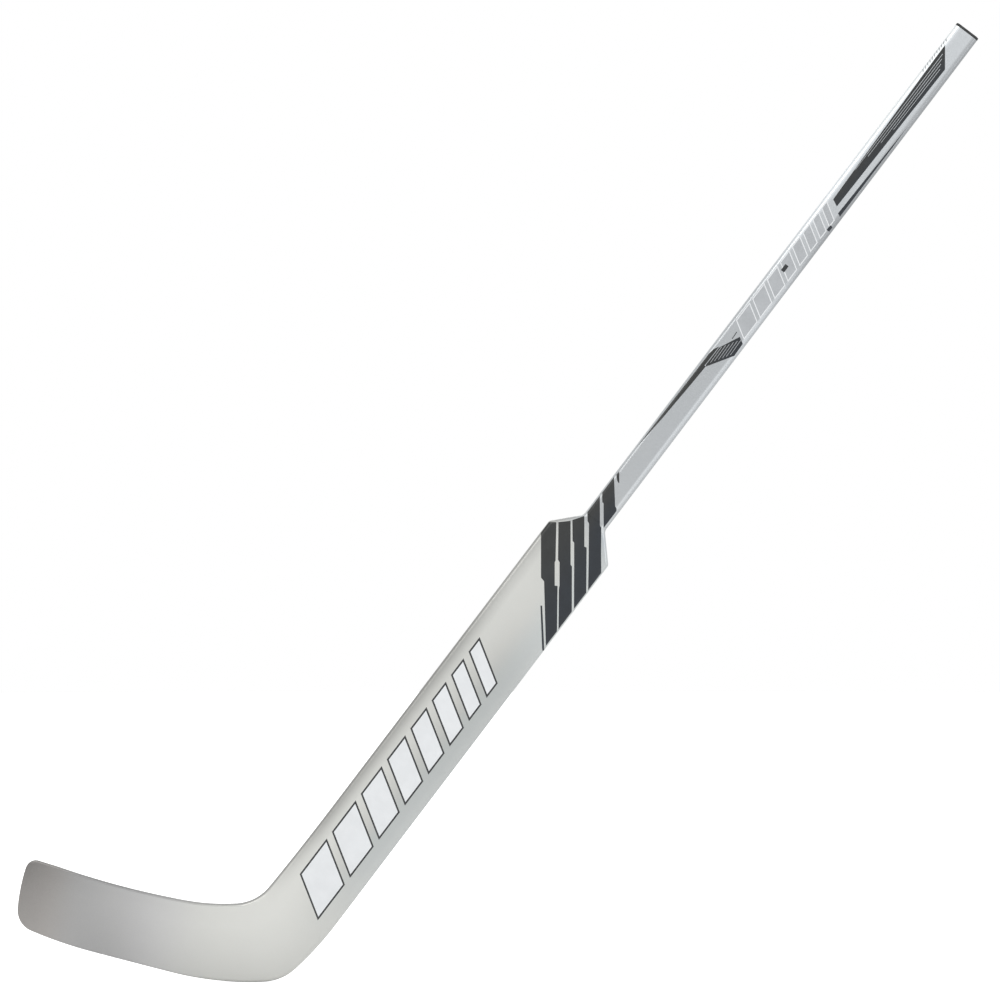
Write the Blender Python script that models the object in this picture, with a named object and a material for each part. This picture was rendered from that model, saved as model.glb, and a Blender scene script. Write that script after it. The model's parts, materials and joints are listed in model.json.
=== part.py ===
"""Goalkeeper's ice hockey stick: a hollow shaft tenoned into a foam-cored paddle and blade.

The stick stands in the XZ plane with its front towards -Y and its toe towards -X. The origin is on
the shaft's axis at the neck, where the shoulders of the paddle meet the shaft.
"""

from collections import namedtuple
from math import atan2, cos, hypot, pi, radians, sin, tan

import bmesh
import bpy
from mathutils import Vector

# Pose: the angle between shaft and sole, and how far the toe is raised above the heel.
LIE = radians(67.05)
SOLE_TILT = radians(14.25)

# Shaft
SHAFT_LENGTH = 0.741  # neck to the end of the cap
SHAFT_WIDTH = 0.032
SHAFT_THICKNESS = 0.020
SHAFT_WALL = 0.002
CORNER_RADIUS = 0.005  # long edges of shaft and paddle
TENON_LENGTH = 0.120
TENON_WALL = 0.0018
BORE_TAPER = 0.010
PLUG_LENGTH = 0.020

# End cap
CAP_FLANGE = 0.003
CAP_BEVEL = 0.0007
CAP_SPIGOT = 0.030
CAP_WALL = 0.0016

# Paddle
PADDLE_LENGTH = 0.684  # corner of heel and sole to the neck
PADDLE_WIDTH = 0.0889
PADDLE_WALL = 0.0015
SHOULDER_LENGTH = 0.0305
SHOULDER_RADIUS = 0.007
NECK_RADIUS = 0.009
RIB_THICKNESS = 0.0015
EDGE_STRIP = 0.004

# Blade
BLADE_LENGTH = 0.3348  # corner of heel and sole to the tip of the toe
BLADE_HEIGHT = 0.0875  # above the sole, where the elbow ends
BLADE_WALL = 0.0012
BLADE_ROOT_THICKNESS = 0.012
TOE_THICKNESS = 0.007
BLADE_EDGE_RADIUS = 0.0026
CURVE_DEPTH = 0.015  # how far the toe bends back
TOP_STRIP = 0.003
SOLE_STRIP = 0.005
BRIDGE_THICKNESS = 0.0012

# Outline arcs of the heel and the elbow: (radius, share of the lie angle that it turns through)
HEEL_ARCS = ((0.403, 0.157), (0.056, 0.587), (0.383, 0.256))
ELBOW_ARCS = ((3.0, 0.033), (0.0546, 0.710), (0.265, 0.201))
BLADE_TOP_RADIUS = 1.12
TOE_LEAD = 0.0234  # straight stretch between the arc of the blade's top and the toe

# Outline arcs of the toe, from the sole round to the top: (radius, turn)
TOE_ROCKER = (0.546, radians(8.13))
TOE_LOWER_CORNER = (0.0256, radians(72.3))
TOE_FACE_RADIUS = 0.224
TOE_UPPER_CORNER = (0.0126, radians(90.2))
TOE_HEIGHT = 0.0902

# Clearance between pieces that touch, and how finely round stretches are divided
GAP = 0.0003
SOFT_EDGE = 0.0004  # radius on the long edges of inner pieces
CORNER_STEPS = 3
ARC_STEPS = 16
HEEL_STATIONS = 16
HEEL_JOINT = 8  # the heel station where paddle shells meet blade shells
BLADE_STATIONS = 8
INSERT_STATION = 6  # the blade station where the toe insert begins
NOSE_STATIONS = 5
SHOULDER_STEP = 4  # every so many points of the shoulder's arcs are stations of the paddle
LEAD_STEP = 4  # every so many points of the elbow's first arc are stations of the paddle
POCKET_END = 3  # the nose station where the hollow of the blade shells ends

AXIS = LIE - SOLE_TILT
ALONG = Vector((cos(AXIS), 0, sin(AXIS)))  # up the shaft
ACROSS = Vector((sin(AXIS), 0, -cos(AXIS)))  # towards the edge that the heel is on
DEPTH = Vector((0, 1, 0))
TO_TOE = Vector((-cos(SOLE_TILT), 0, sin(SOLE_TILT)))
OFF_SOLE = Vector((sin(SOLE_TILT), 0, cos(SOLE_TILT)))

INNER_THICKNESS = SHAFT_THICKNESS - 2 * (PADDLE_WALL + GAP)
TENON_WIDTH = SHAFT_WIDTH - 2 * (PADDLE_WALL + GAP)
RIB_OFFSET = TENON_WIDTH / 2 + GAP  # from the axis to a rib's inner side
CORE_OFFSET = RIB_OFFSET + RIB_THICKNESS + GAP

Station = namedtuple("Station", "upper lower half radius")


def on_axis(along, across, depth=0.0):
    """A point measured up the shaft from the neck, across it, and front to back."""
    return ALONG * along + ACROSS * across + DEPTH * depth


HEEL_CORNER = on_axis(-PADDLE_LENGTH, PADDLE_WIDTH / 2)


def on_blade(point):
    """A point given as (distance towards the toe, height above the sole) from the heel corner."""
    return HEEL_CORNER + TO_TOE * point[0] + OFF_SOLE * point[1]


def arc_chain(start, heading, arcs):
    """Points along tangent arcs (radius, signed turn); a straight stretch is (None, length)."""
    points = [Vector(start)]
    for radius, turn in arcs:
        ahead = Vector((cos(heading), sin(heading)))
        if radius is None:
            points.append(points[-1] + ahead * turn)
            continue
        side = 1 if turn > 0 else -1
        centre = points[-1] + Vector((-ahead.y, ahead.x)) * radius * side
        for step in range(1, ARC_STEPS + 1):
            now = heading + turn * step / ARC_STEPS
            points.append(centre + Vector((sin(now), -cos(now))) * radius * side)
        heading += turn
    return points


def resample(points, count):
    """count + 1 points at equal distances along a polyline."""
    lengths = [(b - a).length for a, b in zip(points, points[1:])]
    found = [points[0]]
    for step in range(1, count):
        left = sum(lengths) * step / count
        index = 0
        while left > lengths[index]:
            left -= lengths[index]
            index += 1
        found.append(points[index].lerp(points[index + 1], left / lengths[index]))
    return found + [points[-1]]


def heel_outline():
    """From the paddle's lower edge round the heel to the flat of the sole."""
    arcs = [(radius, LIE * share) for radius, share in HEEL_ARCS]
    up_paddle = Vector((-cos(LIE), sin(LIE)))
    points = arc_chain((0, 0), atan2(-up_paddle.y, -up_paddle.x), arcs)
    rise = -points[-1].y
    start = up_paddle * (rise / up_paddle.y)
    return [point + start for point in points]


def elbow_outline():
    """From the paddle's upper edge round the elbow to the top of the blade."""
    arcs = [(radius, LIE * share) for radius, share in ELBOW_ARCS]
    points = arc_chain((0, 0), -LIE, arcs)
    edge = Vector((sin(LIE), cos(LIE))) * PADDLE_WIDTH
    up_paddle = Vector((-cos(LIE), sin(LIE)))
    start_height = BLADE_HEIGHT - points[-1].y
    start = edge + up_paddle * ((start_height - edge.y) / up_paddle.y)
    return [point + start for point in points]


def toe_outline():
    """The toe from the flat of the sole up to the blade's top: (sole, lower corner, upper corner)."""
    sole = arc_chain((0, 0), 0, [TOE_ROCKER])
    lower = arc_chain(sole[-1], TOE_ROCKER[1], [TOE_LOWER_CORNER])
    heading = TOE_ROCKER[1] + TOE_LOWER_CORNER[1]
    face_height = TOE_HEIGHT - lower[-1].y - TOE_UPPER_CORNER[0]
    face = arc_chain(lower[-1], heading, [(TOE_FACE_RADIUS, face_height / TOE_FACE_RADIUS)])
    upper = arc_chain(face[-1], heading + face_height / TOE_FACE_RADIUS, [TOE_UPPER_CORNER])
    shift = Vector((BLADE_LENGTH - max(point.x for point in face), 0))
    return [[point + shift for point in stretch] for stretch in (sole, lower, upper)]


def shoulder_profile():
    """(distance up the axis, half width) from the neck down to the full width of the paddle."""
    rise = (PADDLE_WIDTH - SHAFT_WIDTH) / 2
    slope = atan2(rise, SHOULDER_LENGTH)
    neck_lead = NECK_RADIUS * tan(slope / 2)
    flank = hypot(rise, SHOULDER_LENGTH) - neck_lead - SHOULDER_RADIUS * tan(slope / 2)
    arcs = [(NECK_RADIUS, -slope), (None, flank), (SHOULDER_RADIUS, slope)]
    points = arc_chain((neck_lead, SHAFT_WIDTH / 2), pi, arcs)
    flank_end = ARC_STEPS + 1  # index of the point where the straight flank ends
    rounding = points[flank_end + SHOULDER_STEP :: SHOULDER_STEP]
    return points[0:ARC_STEPS:SHOULDER_STEP] + points[ARC_STEPS : flank_end + 1] + rounding


SHOULDER = shoulder_profile()
NECK_END = SHOULDER[0].x
SHOULDER_END = SHOULDER[-1].x


def half_width(along):
    """Half the paddle's width at a distance up the axis."""
    for above, below in zip(SHOULDER, SHOULDER[1:]):
        if below.x <= along <= above.x:
            return above.y + (below.y - above.y) * (above.x - along) / (above.x - below.x)
    return SHAFT_WIDTH / 2 if along > NECK_END else PADDLE_WIDTH / 2


def paddle_station(along):
    """The paddle's section at a distance up the axis."""
    half = half_width(along)
    return Station(on_axis(along, -half), on_axis(along, half), SHAFT_THICKNESS / 2, CORNER_RADIUS)


def between(first, second, share):
    """The station a share of the way from one to another."""
    return Station(
        first.upper.lerp(second.upper, share),
        first.lower.lerp(second.lower, share),
        first.half + (second.half - first.half) * share,
        first.radius + (second.radius - first.radius) * share,
    )


def paddle_and_heel():
    """Stations down the paddle, whose upper edge flares into the elbow, and round the heel."""
    elbow = [on_blade(point) for point in elbow_outline()]
    heel = [on_blade(point) for point in heel_outline()]
    flare = [point for point in elbow if point.dot(ALONG) > heel[0].dot(ALONG)]
    paddle = [paddle_station(point.x) for point in SHOULDER]
    for point in flare[:-1:LEAD_STEP]:
        paddle.append(paddle_station(point.dot(ALONG))._replace(upper=point))
    upper = resample(elbow[len(flare) - 1 :], HEEL_STATIONS)
    lower = resample(heel, HEEL_STATIONS)
    stations = []
    for index, (top, bottom) in enumerate(zip(upper, lower)):
        share = index / HEEL_STATIONS
        half = (SHAFT_THICKNESS * (1 - share) + BLADE_ROOT_THICKNESS * share) / 2
        radius = CORNER_RADIUS * (1 - share) + BLADE_EDGE_RADIUS * share
        stations.append(Station(top, bottom, half, radius))
    return paddle, stations


def toe_stations():
    """Stations from the end of the heel to the toe's face, bending back as they go."""
    sole, lower_corner, upper_corner = toe_outline()
    elbow_end = elbow_outline()[-1]
    heading = LIE * (sum(share for _, share in ELBOW_ARCS) - 1)
    arc_length = (upper_corner[-1] - elbow_end).length - TOE_LEAD
    top_arc = (BLADE_TOP_RADIUS, arc_length / BLADE_TOP_RADIUS)
    top = arc_chain(elbow_end, heading, [top_arc]) + [upper_corner[-1]]
    upper = resample(top, BLADE_STATIONS) + resample(upper_corner[::-1], NOSE_STATIONS)[1:]
    lower = resample([heel_outline()[-1]] + sole, BLADE_STATIONS)
    lower += resample(lower_corner, NOSE_STATIONS)[1:]
    root = min(upper[0].x, lower[0].x)
    stations = []
    for rails in zip(upper, lower):
        shares = [(point.x - root) / (BLADE_LENGTH - root) for point in rails]
        places = [on_blade(p) + DEPTH * CURVE_DEPTH * t**2 for p, t in zip(rails, shares)]
        taper = sum(shares) / 2
        half = (BLADE_ROOT_THICKNESS * (1 - taper) + TOE_THICKNESS * taper) / 2
        stations.append(Station(*places, half, BLADE_EDGE_RADIUS))
    return stations


PADDLE, HEEL = paddle_and_heel()
BLADE = toe_stations()


def trimmed(stations, start=0.0, end=0.0):
    """The same stretch, shortened by a distance at either end."""
    cut = list(stations)
    if start:
        length = min((cut[1].upper - cut[0].upper).length, (cut[1].lower - cut[0].lower).length)
        cut[0] = between(cut[0], cut[1], start / length)
    if end:
        length = min((cut[-2].upper - cut[-1].upper).length, (cut[-2].lower - cut[-1].lower).length)
        cut[-1] = between(cut[-1], cut[-2], end / length)
    return cut


def width(station):
    """How wide the strip is at a station."""
    return (station.lower - station.upper).length


def axis_place(station):
    """How far across a paddle station the shaft's axis lies."""
    return -station.upper.dot(ACROSS)


def on_station(station, profile):
    """A profile of (distance from the upper rail, depth) laid on a station."""
    across = (station.lower - station.upper).normalized()
    return [station.upper + across * p + DEPTH * y for p, y in profile]


def corner(centre, radius, start):
    """A quarter round, turning left from the direction start."""
    steps = range(CORNER_STEPS + 1)
    turns = [start + pi / 2 * step / CORNER_STEPS for step in steps]
    return [(centre[0] + radius * cos(a), centre[1] + radius * sin(a)) for a in turns]


def rounded_block(low, high, half, low_radius, high_radius):
    """A closed section from low to high across, with round corners on either side."""
    return (
        corner((low + low_radius, low_radius - half), low_radius, pi)
        + corner((high - high_radius, high_radius - half), high_radius, 3 * pi / 2)
        + corner((high - high_radius, half - high_radius), high_radius, 0)
        + corner((low + low_radius, half - low_radius), low_radius, pi / 2)
    )


def half_shell(station, inset, floor, side):
    """One half of the section, from the parting plane out to the face on one side."""
    radius = station.radius - inset
    half = station.half - inset
    far = width(station) - inset
    path = [(inset, floor)]
    path += corner((inset + radius, half - radius), radius, pi / 2)[::-1]
    path += corner((far - radius, half - radius), radius, 0)[::-1]
    path.append((far, floor))
    return [(p, y * side) for p, y in path]


def material(name, colour, roughness, metallic=0.0):
    """A plain surface with one colour and roughness."""
    made = bpy.data.materials.new(name)
    made.use_nodes = True
    shader = made.node_tree.nodes["Principled BSDF"]
    shader.inputs["Base Color"].default_value = (*colour, 1)
    shader.inputs["Roughness"].default_value = roughness
    shader.inputs["Metallic"].default_value = metallic
    return made


def grow(bm, edges, ring, target):
    """Extrudes a ring of edges and moves the new ring onto the target points."""
    grown = bmesh.ops.extrude_edge_only(bm, edges=edges)["geom"]
    by_place = {v.co.to_tuple(6): v for v in grown if isinstance(v, bmesh.types.BMVert)}
    new_ring = [by_place[v.co.to_tuple(6)] for v in ring]
    for vert, place in zip(new_ring, target):
        vert.co = place
    members = set(new_ring)
    new_edges = [e for e in grown if isinstance(e, bmesh.types.BMEdge) and set(e.verts) <= members]
    return new_edges, new_ring


def loft(name, rings, finish, tube=False):
    """A solid through rings of points: capped at its ends, or closed on itself as a tube."""
    bm = bmesh.new()
    ring = [bm.verts.new(place) for place in rings[0]]
    first = [bm.edges.new((ring[index - 1], ring[index])) for index in range(len(ring))]
    edges = first
    for target in rings[1:]:
        edges, ring = grow(bm, edges, ring, target)
    if tube:
        bmesh.ops.bridge_loops(bm, edges=first + edges)
    else:
        bmesh.ops.edgeloop_fill(bm, edges=first)
        bmesh.ops.edgeloop_fill(bm, edges=edges)
    bmesh.ops.recalc_face_normals(bm, faces=bm.faces)
    mesh = bpy.data.meshes.new(name)
    bm.to_mesh(mesh)
    bm.free()
    mesh.materials.append(finish)
    made = bpy.data.objects.new(name, mesh)
    bpy.context.collection.objects.link(made)
    return made


def straight_piece(name, start, end, low, high, finish):
    """A bar along the axis between two distances from the neck, filling the inner thickness."""
    section = rounded_block(low, high, INNER_THICKNESS / 2, SOFT_EDGE, SOFT_EDGE)
    rings = [[on_axis(along, t, y) for t, y in section] for along in (start, end)]
    return loft(name, rings, finish)


def strip_piece(name, stations, wall, low, high, finish, low_radius=SOFT_EDGE, high_radius=SOFT_EDGE):
    """A bar along the strip, between two distances across that depend on the station."""
    rings = []
    for station in stations:
        half = station.half - wall - GAP
        section = rounded_block(low(station), high(station), half, low_radius, high_radius)
        rings.append(on_station(station, section))
    return loft(name, rings, finish)


def shell(name, stations, hollow, wall, side, finish):
    """A moulded half: the outer half section along its stations, less the hollow."""
    outer = [on_station(s, half_shell(s, 0, GAP / 2, side)) for s in stations]
    inner = [on_station(s, half_shell(s, wall, -wall, side)) for s in hollow]
    made = loft(name, outer, finish)
    cutter = loft(name + "_hollow", inner, finish)
    cutter.hide_render = True
    cutter.display_type = "WIRE"
    cut = made.modifiers.new("hollow", "BOOLEAN")
    cut.object = cutter
    return made


def shaft_section(inset, along):
    """The shaft's section, taken in by an inset all round."""
    half = SHAFT_WIDTH / 2 - inset
    radius = CORNER_RADIUS - inset
    section = rounded_block(-half, half, SHAFT_THICKNESS / 2 - inset, radius, radius)
    return [on_axis(along, t, y) for t, y in section]


def shaft_tube(finish):
    """The hollow shaft, stepped down at the neck to a tenon inside the paddle."""
    tenon_inset = PADDLE_WALL + GAP
    tenon_bore = tenon_inset + TENON_WALL
    top = SHAFT_LENGTH - CAP_FLANGE - GAP
    step = NECK_END + GAP
    rings = [
        shaft_section(0, top),
        shaft_section(0, step),
        shaft_section(tenon_inset, step),
        shaft_section(tenon_inset, -TENON_LENGTH),
        shaft_section(tenon_bore, -TENON_LENGTH),
        shaft_section(tenon_bore, step + SHAFT_WALL),
        shaft_section(SHAFT_WALL, step + SHAFT_WALL + BORE_TAPER),
        shaft_section(SHAFT_WALL, top),
    ]
    return loft("shaft_tube", rings, finish, tube=True)


def end_cap(finish):
    """The moulded cap: a flange over the tube's end and a hollow spigot inside it."""
    under = SHAFT_LENGTH - CAP_FLANGE
    spigot = SHAFT_WALL + GAP
    rings = [
        shaft_section(CAP_BEVEL, SHAFT_LENGTH),
        shaft_section(0, SHAFT_LENGTH - CAP_BEVEL),
        shaft_section(0, under),
        shaft_section(spigot, under),
        shaft_section(spigot, under - CAP_SPIGOT),
        shaft_section(spigot + CAP_WALL, under - CAP_SPIGOT),
        shaft_section(spigot + CAP_WALL, under - CAP_WALL),
    ]
    return loft("end_cap", rings, finish)


def tenon_plug(finish):
    """Foam that closes the tenon's lower end."""
    inset = PADDLE_WALL + GAP + TENON_WALL + GAP
    ends = (-TENON_LENGTH, PLUG_LENGTH - TENON_LENGTH)
    return loft("tenon_plug", [shaft_section(inset, along) for along in ends], finish)


def shells(finish):
    """Front and back mouldings of the paddle and of the blade, parted at the heel."""
    above_neck = paddle_station(NECK_END + PADDLE_WALL * 2)
    paddle = trimmed(PADDLE + HEEL[: HEEL_JOINT + 1], end=GAP / 2)
    paddle_hollow = [above_neck] + PADDLE + HEEL[: HEEL_JOINT + 2]
    blade = trimmed(HEEL[HEEL_JOINT:] + BLADE[1:], start=GAP / 2)
    blade_hollow = HEEL[HEEL_JOINT - 1 :] + BLADE[1 : BLADE_STATIONS + POCKET_END + 1]
    for face, side in (("front", -1), ("back", 1)):
        shell("paddle_%s_shell" % face, paddle, paddle_hollow, PADDLE_WALL, side, finish)
        shell("blade_%s_shell" % face, blade, blade_hollow, BLADE_WALL, side, finish)


def paddle_insides(foam, laminate, dense):
    """Ribs, cores and edge strips in the paddle, and the shoulder blocks."""
    bottom = max(point.dot(ALONG) for point in (HEEL[0].upper, HEEL[0].lower)) + GAP
    rib_top = next(p.x for p in SHOULDER if p.y > CORE_OFFSET + PADDLE_WALL + CORNER_RADIUS)
    far_side = RIB_OFFSET + RIB_THICKNESS
    straight_piece(
        "paddle_centre_core", -TENON_LENGTH - GAP, bottom, GAP - RIB_OFFSET, RIB_OFFSET - GAP, foam
    )
    straight_piece("paddle_upper_rib", rib_top, bottom, -far_side, -RIB_OFFSET, laminate)
    straight_piece("paddle_lower_rib", rib_top, bottom, RIB_OFFSET, far_side, laminate)

    run = trimmed(PADDLE[len(SHOULDER) - 1 :] + HEEL[:1], start=GAP, end=GAP)
    edge = PADDLE_WALL + GAP
    strip = edge + EDGE_STRIP
    inner_corner = CORNER_RADIUS - edge
    strip_piece(
        "paddle_upper_edge_strip",
        run,
        PADDLE_WALL,
        lambda s: edge,
        lambda s: strip,
        laminate,
        low_radius=inner_corner,
    )
    strip_piece(
        "paddle_upper_core",
        run,
        PADDLE_WALL,
        lambda s: strip + GAP,
        lambda s: axis_place(s) - CORE_OFFSET,
        foam,
    )
    strip_piece(
        "paddle_lower_core",
        run,
        PADDLE_WALL,
        lambda s: axis_place(s) + CORE_OFFSET,
        lambda s: width(s) - strip - GAP,
        foam,
    )
    strip_piece(
        "paddle_lower_edge_strip",
        run,
        PADDLE_WALL,
        lambda s: width(s) - strip,
        lambda s: width(s) - edge,
        laminate,
        high_radius=inner_corner,
    )
    shoulder_block("shoulder_upper_block", -1, dense)
    shoulder_block("shoulder_lower_block", 1, dense)


def shoulder_block(name, side, finish):
    """A wedge beside the tenon that fills the paddle where it widens."""
    inner_corner = CORNER_RADIUS - PADDLE_WALL - GAP
    least = CORE_OFFSET + PADDLE_WALL + GAP + CORNER_RADIUS
    rings = []
    for along, half in [(p.x, p.y) for p in SHOULDER if p.y > least]:
        low, high = sorted((side * CORE_OFFSET, side * (half - PADDLE_WALL - GAP)))
        radii = (inner_corner, SOFT_EDGE) if side < 0 else (SOFT_EDGE, inner_corner)
        section = rounded_block(low, high, INNER_THICKNESS / 2, *radii)
        rings.append([on_axis(along, t, y) for t, y in section])
    return loft(name, rings, finish)


def heel_block(finish):
    """Fills the turn from paddle to blade and bridges the joint between their shells."""
    wall = max(PADDLE_WALL, BLADE_WALL)
    edge = wall + GAP
    rounding = CORNER_RADIUS - edge
    strip_piece(
        "heel_block",
        trimmed(HEEL, start=GAP, end=GAP),
        wall,
        lambda s: edge,
        lambda s: width(s) - edge,
        finish,
        low_radius=rounding,
        high_radius=rounding,
    )


def blade_insides(foam, laminate, tough):
    """Cores, bridge and edge strips from the heel block to the toe insert."""
    run = trimmed(BLADE[: INSERT_STATION + 1], end=GAP)
    edge = BLADE_WALL + GAP
    top_strip = edge + TOP_STRIP
    sole_strip = edge + SOLE_STRIP
    half_bridge = BRIDGE_THICKNESS / 2
    inner_corner = BLADE_EDGE_RADIUS - edge
    strip_piece(
        "blade_top_strip",
        run,
        BLADE_WALL,
        lambda s: edge,
        lambda s: top_strip,
        laminate,
        low_radius=inner_corner,
    )
    strip_piece(
        "blade_upper_core",
        run,
        BLADE_WALL,
        lambda s: top_strip + GAP,
        lambda s: width(s) / 2 - half_bridge - GAP,
        foam,
    )
    strip_piece(
        "blade_bridge",
        run,
        BLADE_WALL,
        lambda s: width(s) / 2 - half_bridge,
        lambda s: width(s) / 2 + half_bridge,
        laminate,
    )
    strip_piece(
        "blade_lower_core",
        run,
        BLADE_WALL,
        lambda s: width(s) / 2 + half_bridge + GAP,
        lambda s: width(s) - sole_strip - GAP,
        foam,
    )
    strip_piece(
        "blade_sole_strip",
        run,
        BLADE_WALL,
        lambda s: width(s) - sole_strip,
        lambda s: width(s) - edge,
        laminate,
        high_radius=inner_corner,
    )
    strip_piece(
        "toe_insert",
        trimmed(BLADE[INSERT_STATION : BLADE_STATIONS + POCKET_END + 1], end=GAP),
        BLADE_WALL,
        lambda s: edge,
        lambda s: width(s) - edge,
        tough,
        low_radius=inner_corner,
        high_radius=inner_corner,
    )


def main():
    """Builds every piece of the stick."""
    for obj in list(bpy.data.objects):
        bpy.data.objects.remove(obj)
    silver = material("silver_lacquer", (0.60, 0.61, 0.62), 0.34, 0.6)
    black = material("black_plastic", (0.02, 0.02, 0.022), 0.45)
    foam = material("core_foam", (0.82, 0.80, 0.70), 0.9)
    laminate = material("fibre_laminate", (0.05, 0.05, 0.055), 0.4)
    dense = material("dense_filler", (0.45, 0.33, 0.20), 0.8)
    tough = material("tough_insert", (0.12, 0.12, 0.13), 0.6)
    shaft_tube(silver)
    end_cap(black)
    tenon_plug(foam)
    shells(silver)
    paddle_insides(foam, laminate, dense)
    heel_block(tough)
    blade_insides(foam, laminate, tough)


main()
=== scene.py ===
"""Goalkeeper's ice hockey stick: painted skins, printed marks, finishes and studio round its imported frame.

The stick stands in the XZ plane with its front towards -Y and its toe towards -X. The origin is on
the shaft's axis at the neck, where the shoulders of the paddle meet the shaft.
"""

import json
from collections import namedtuple
from math import atan2, cos, hypot, pi, radians, sin, sqrt, tan

import bmesh
import bpy
from bpy.props import FloatProperty, FloatVectorProperty, IntProperty, PointerProperty
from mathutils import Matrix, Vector


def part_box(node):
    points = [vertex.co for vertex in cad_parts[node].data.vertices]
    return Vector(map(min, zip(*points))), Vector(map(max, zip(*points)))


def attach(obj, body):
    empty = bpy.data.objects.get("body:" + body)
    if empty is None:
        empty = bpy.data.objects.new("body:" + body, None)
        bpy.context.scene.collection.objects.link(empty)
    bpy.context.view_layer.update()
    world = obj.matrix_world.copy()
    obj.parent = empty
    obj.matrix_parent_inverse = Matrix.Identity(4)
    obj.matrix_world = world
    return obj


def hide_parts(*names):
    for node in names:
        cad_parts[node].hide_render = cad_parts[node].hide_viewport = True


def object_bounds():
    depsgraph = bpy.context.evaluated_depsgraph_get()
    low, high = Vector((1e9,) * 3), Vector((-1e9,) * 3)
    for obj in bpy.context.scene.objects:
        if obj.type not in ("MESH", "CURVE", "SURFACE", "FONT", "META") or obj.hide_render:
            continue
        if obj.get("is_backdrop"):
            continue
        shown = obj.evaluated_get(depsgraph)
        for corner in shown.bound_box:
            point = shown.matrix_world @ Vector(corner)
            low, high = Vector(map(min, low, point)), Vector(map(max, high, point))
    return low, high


bl_info = {
    "name": "Goalkeeper's stick",
    "version": (1, 0, 0),
    "blender": (4, 5, 0),
    "location": "3D View > Sidebar > Stick",
    "description": "Builds a goalkeeper's ice hockey stick round its packed frame",
    "category": "Object",
}

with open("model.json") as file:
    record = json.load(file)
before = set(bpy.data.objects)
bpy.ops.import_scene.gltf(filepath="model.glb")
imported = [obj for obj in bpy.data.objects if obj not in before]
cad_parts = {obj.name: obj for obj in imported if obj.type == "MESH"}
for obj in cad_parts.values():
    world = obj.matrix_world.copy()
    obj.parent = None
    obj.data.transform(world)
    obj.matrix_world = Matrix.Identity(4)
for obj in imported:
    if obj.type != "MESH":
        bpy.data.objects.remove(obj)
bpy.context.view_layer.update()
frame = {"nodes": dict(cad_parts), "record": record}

MM = 0.001

# Pose: the angle between shaft and sole, and how far the toe is raised above the heel.
LIE = radians(67.05)
SOLE_TILT = radians(14.25)
AXIS = LIE - SOLE_TILT
ALONG = Vector((cos(AXIS), 0, sin(AXIS)))  # up the shaft
ACROSS = Vector((sin(AXIS), 0, -cos(AXIS)))  # towards the edge that the heel is on
DEPTH = Vector((0, 1, 0))
TO_TOE = Vector((-cos(SOLE_TILT), 0, sin(SOLE_TILT)))
OFF_SOLE = Vector((sin(SOLE_TILT), 0, cos(SOLE_TILT)))
FRONT, BACK = -1, 1

# Outline arcs of the heel and the elbow: (radius, share of the lie angle that it turns through)
HEEL_ARCS = ((0.403, 0.157), (0.056, 0.587), (0.383, 0.256))
ELBOW_ARCS = ((3.0, 0.033), (0.0546, 0.710), (0.265, 0.201))
BLADE_TOP_ARC = (1.12, radians(8.1))

# Outline arcs of the toe, from the sole round to the top: (radius, turn)
TOE_ROCKER = (0.546, radians(8.13))
TOE_LOWER_CORNER = (0.0256, radians(72.3))
TOE_FACE_RADIUS = 0.224
TOE_UPPER_CORNER = (0.0126, radians(90.2))
TOE_HEIGHT = 0.0902

# How finely the skins are divided
ARC_STEPS = 24
CORNER_STEPS = 7
COLUMNS = 12
SHAFT_COLUMNS = 4
SHAFT_ROWS = 10
HEEL_STATIONS = 40
HEEL_JOINT = 20  # the heel station where paddle skins meet blade skins
BLADE_STATIONS = 36
NOSE_STATIONS = 16
POCKET_END = 6  # the nose station where the blade's hollow ends
NECK_STEP = 2  # of the points on a shoulder's arcs, every second is a station
FLARE_STEP = 3  # and of those on the elbow above the heel, every third
PART_LINE = 0.00006  # hairline between front and back skins
CROWN_POWER = 3.0
FULLEST_ROUND = 0.95  # the largest share of the half thickness that a rounded corner takes
SHARP = radians(32)  # an edge that turns more than this stays sharp
SKIN_SHARP = 0.75  # a face that leans further from the smooth skin keeps its own normal

# Joints inside the shaft, as on the frame
TENON_LENGTH = 0.120
TENON_INSET = 0.0018
TENON_WALL = 0.0018
BORE_TAPER = 0.010
CAP_SPIGOT = 0.030
CAP_WALL = 0.0016
GLUE_GAP = 0.0003

# The cap's rounded edge and shallow dish
ROUND_STEPS = 5
DISH_EDGE = 0.0024
DISH_SLOPE = 0.0005

# Slots of finish on every painted skin
SILVER, CHARCOAL, WHITE, OUTLINE, GREY = range(5)

Station = namedtuple("Station", "upper lower half radius bow")


def depth_of(node):
    """How thick a frame node is from front to back."""
    low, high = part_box(node)
    return high.y - low.y


def mount_distance(name):
    """How far a mount of the record stands from the origin."""
    for mount in frame["record"]["mounts"]:
        if mount["name"] == name:
            return Vector(mount["pos_m"]).length
    raise ValueError("the record has no mount named " + name)


# ----------------------------------------
# Sizes and colours that a user would change


def length_property(name, description, default):
    """A length in metres."""
    return FloatProperty(
        name=name, description=description, default=default, min=0.0, precision=5, unit="LENGTH"
    )


def share_property(name, description, default):
    """A share from nothing to all."""
    return FloatProperty(
        name=name, description=description, default=default, min=0.0, max=1.0, subtype="FACTOR"
    )


def colour_property(name, description, default):
    """A linear colour."""
    return FloatVectorProperty(
        name=name, description=description, default=default, min=0.0, max=1.0, size=3, subtype="COLOR"
    )


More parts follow.
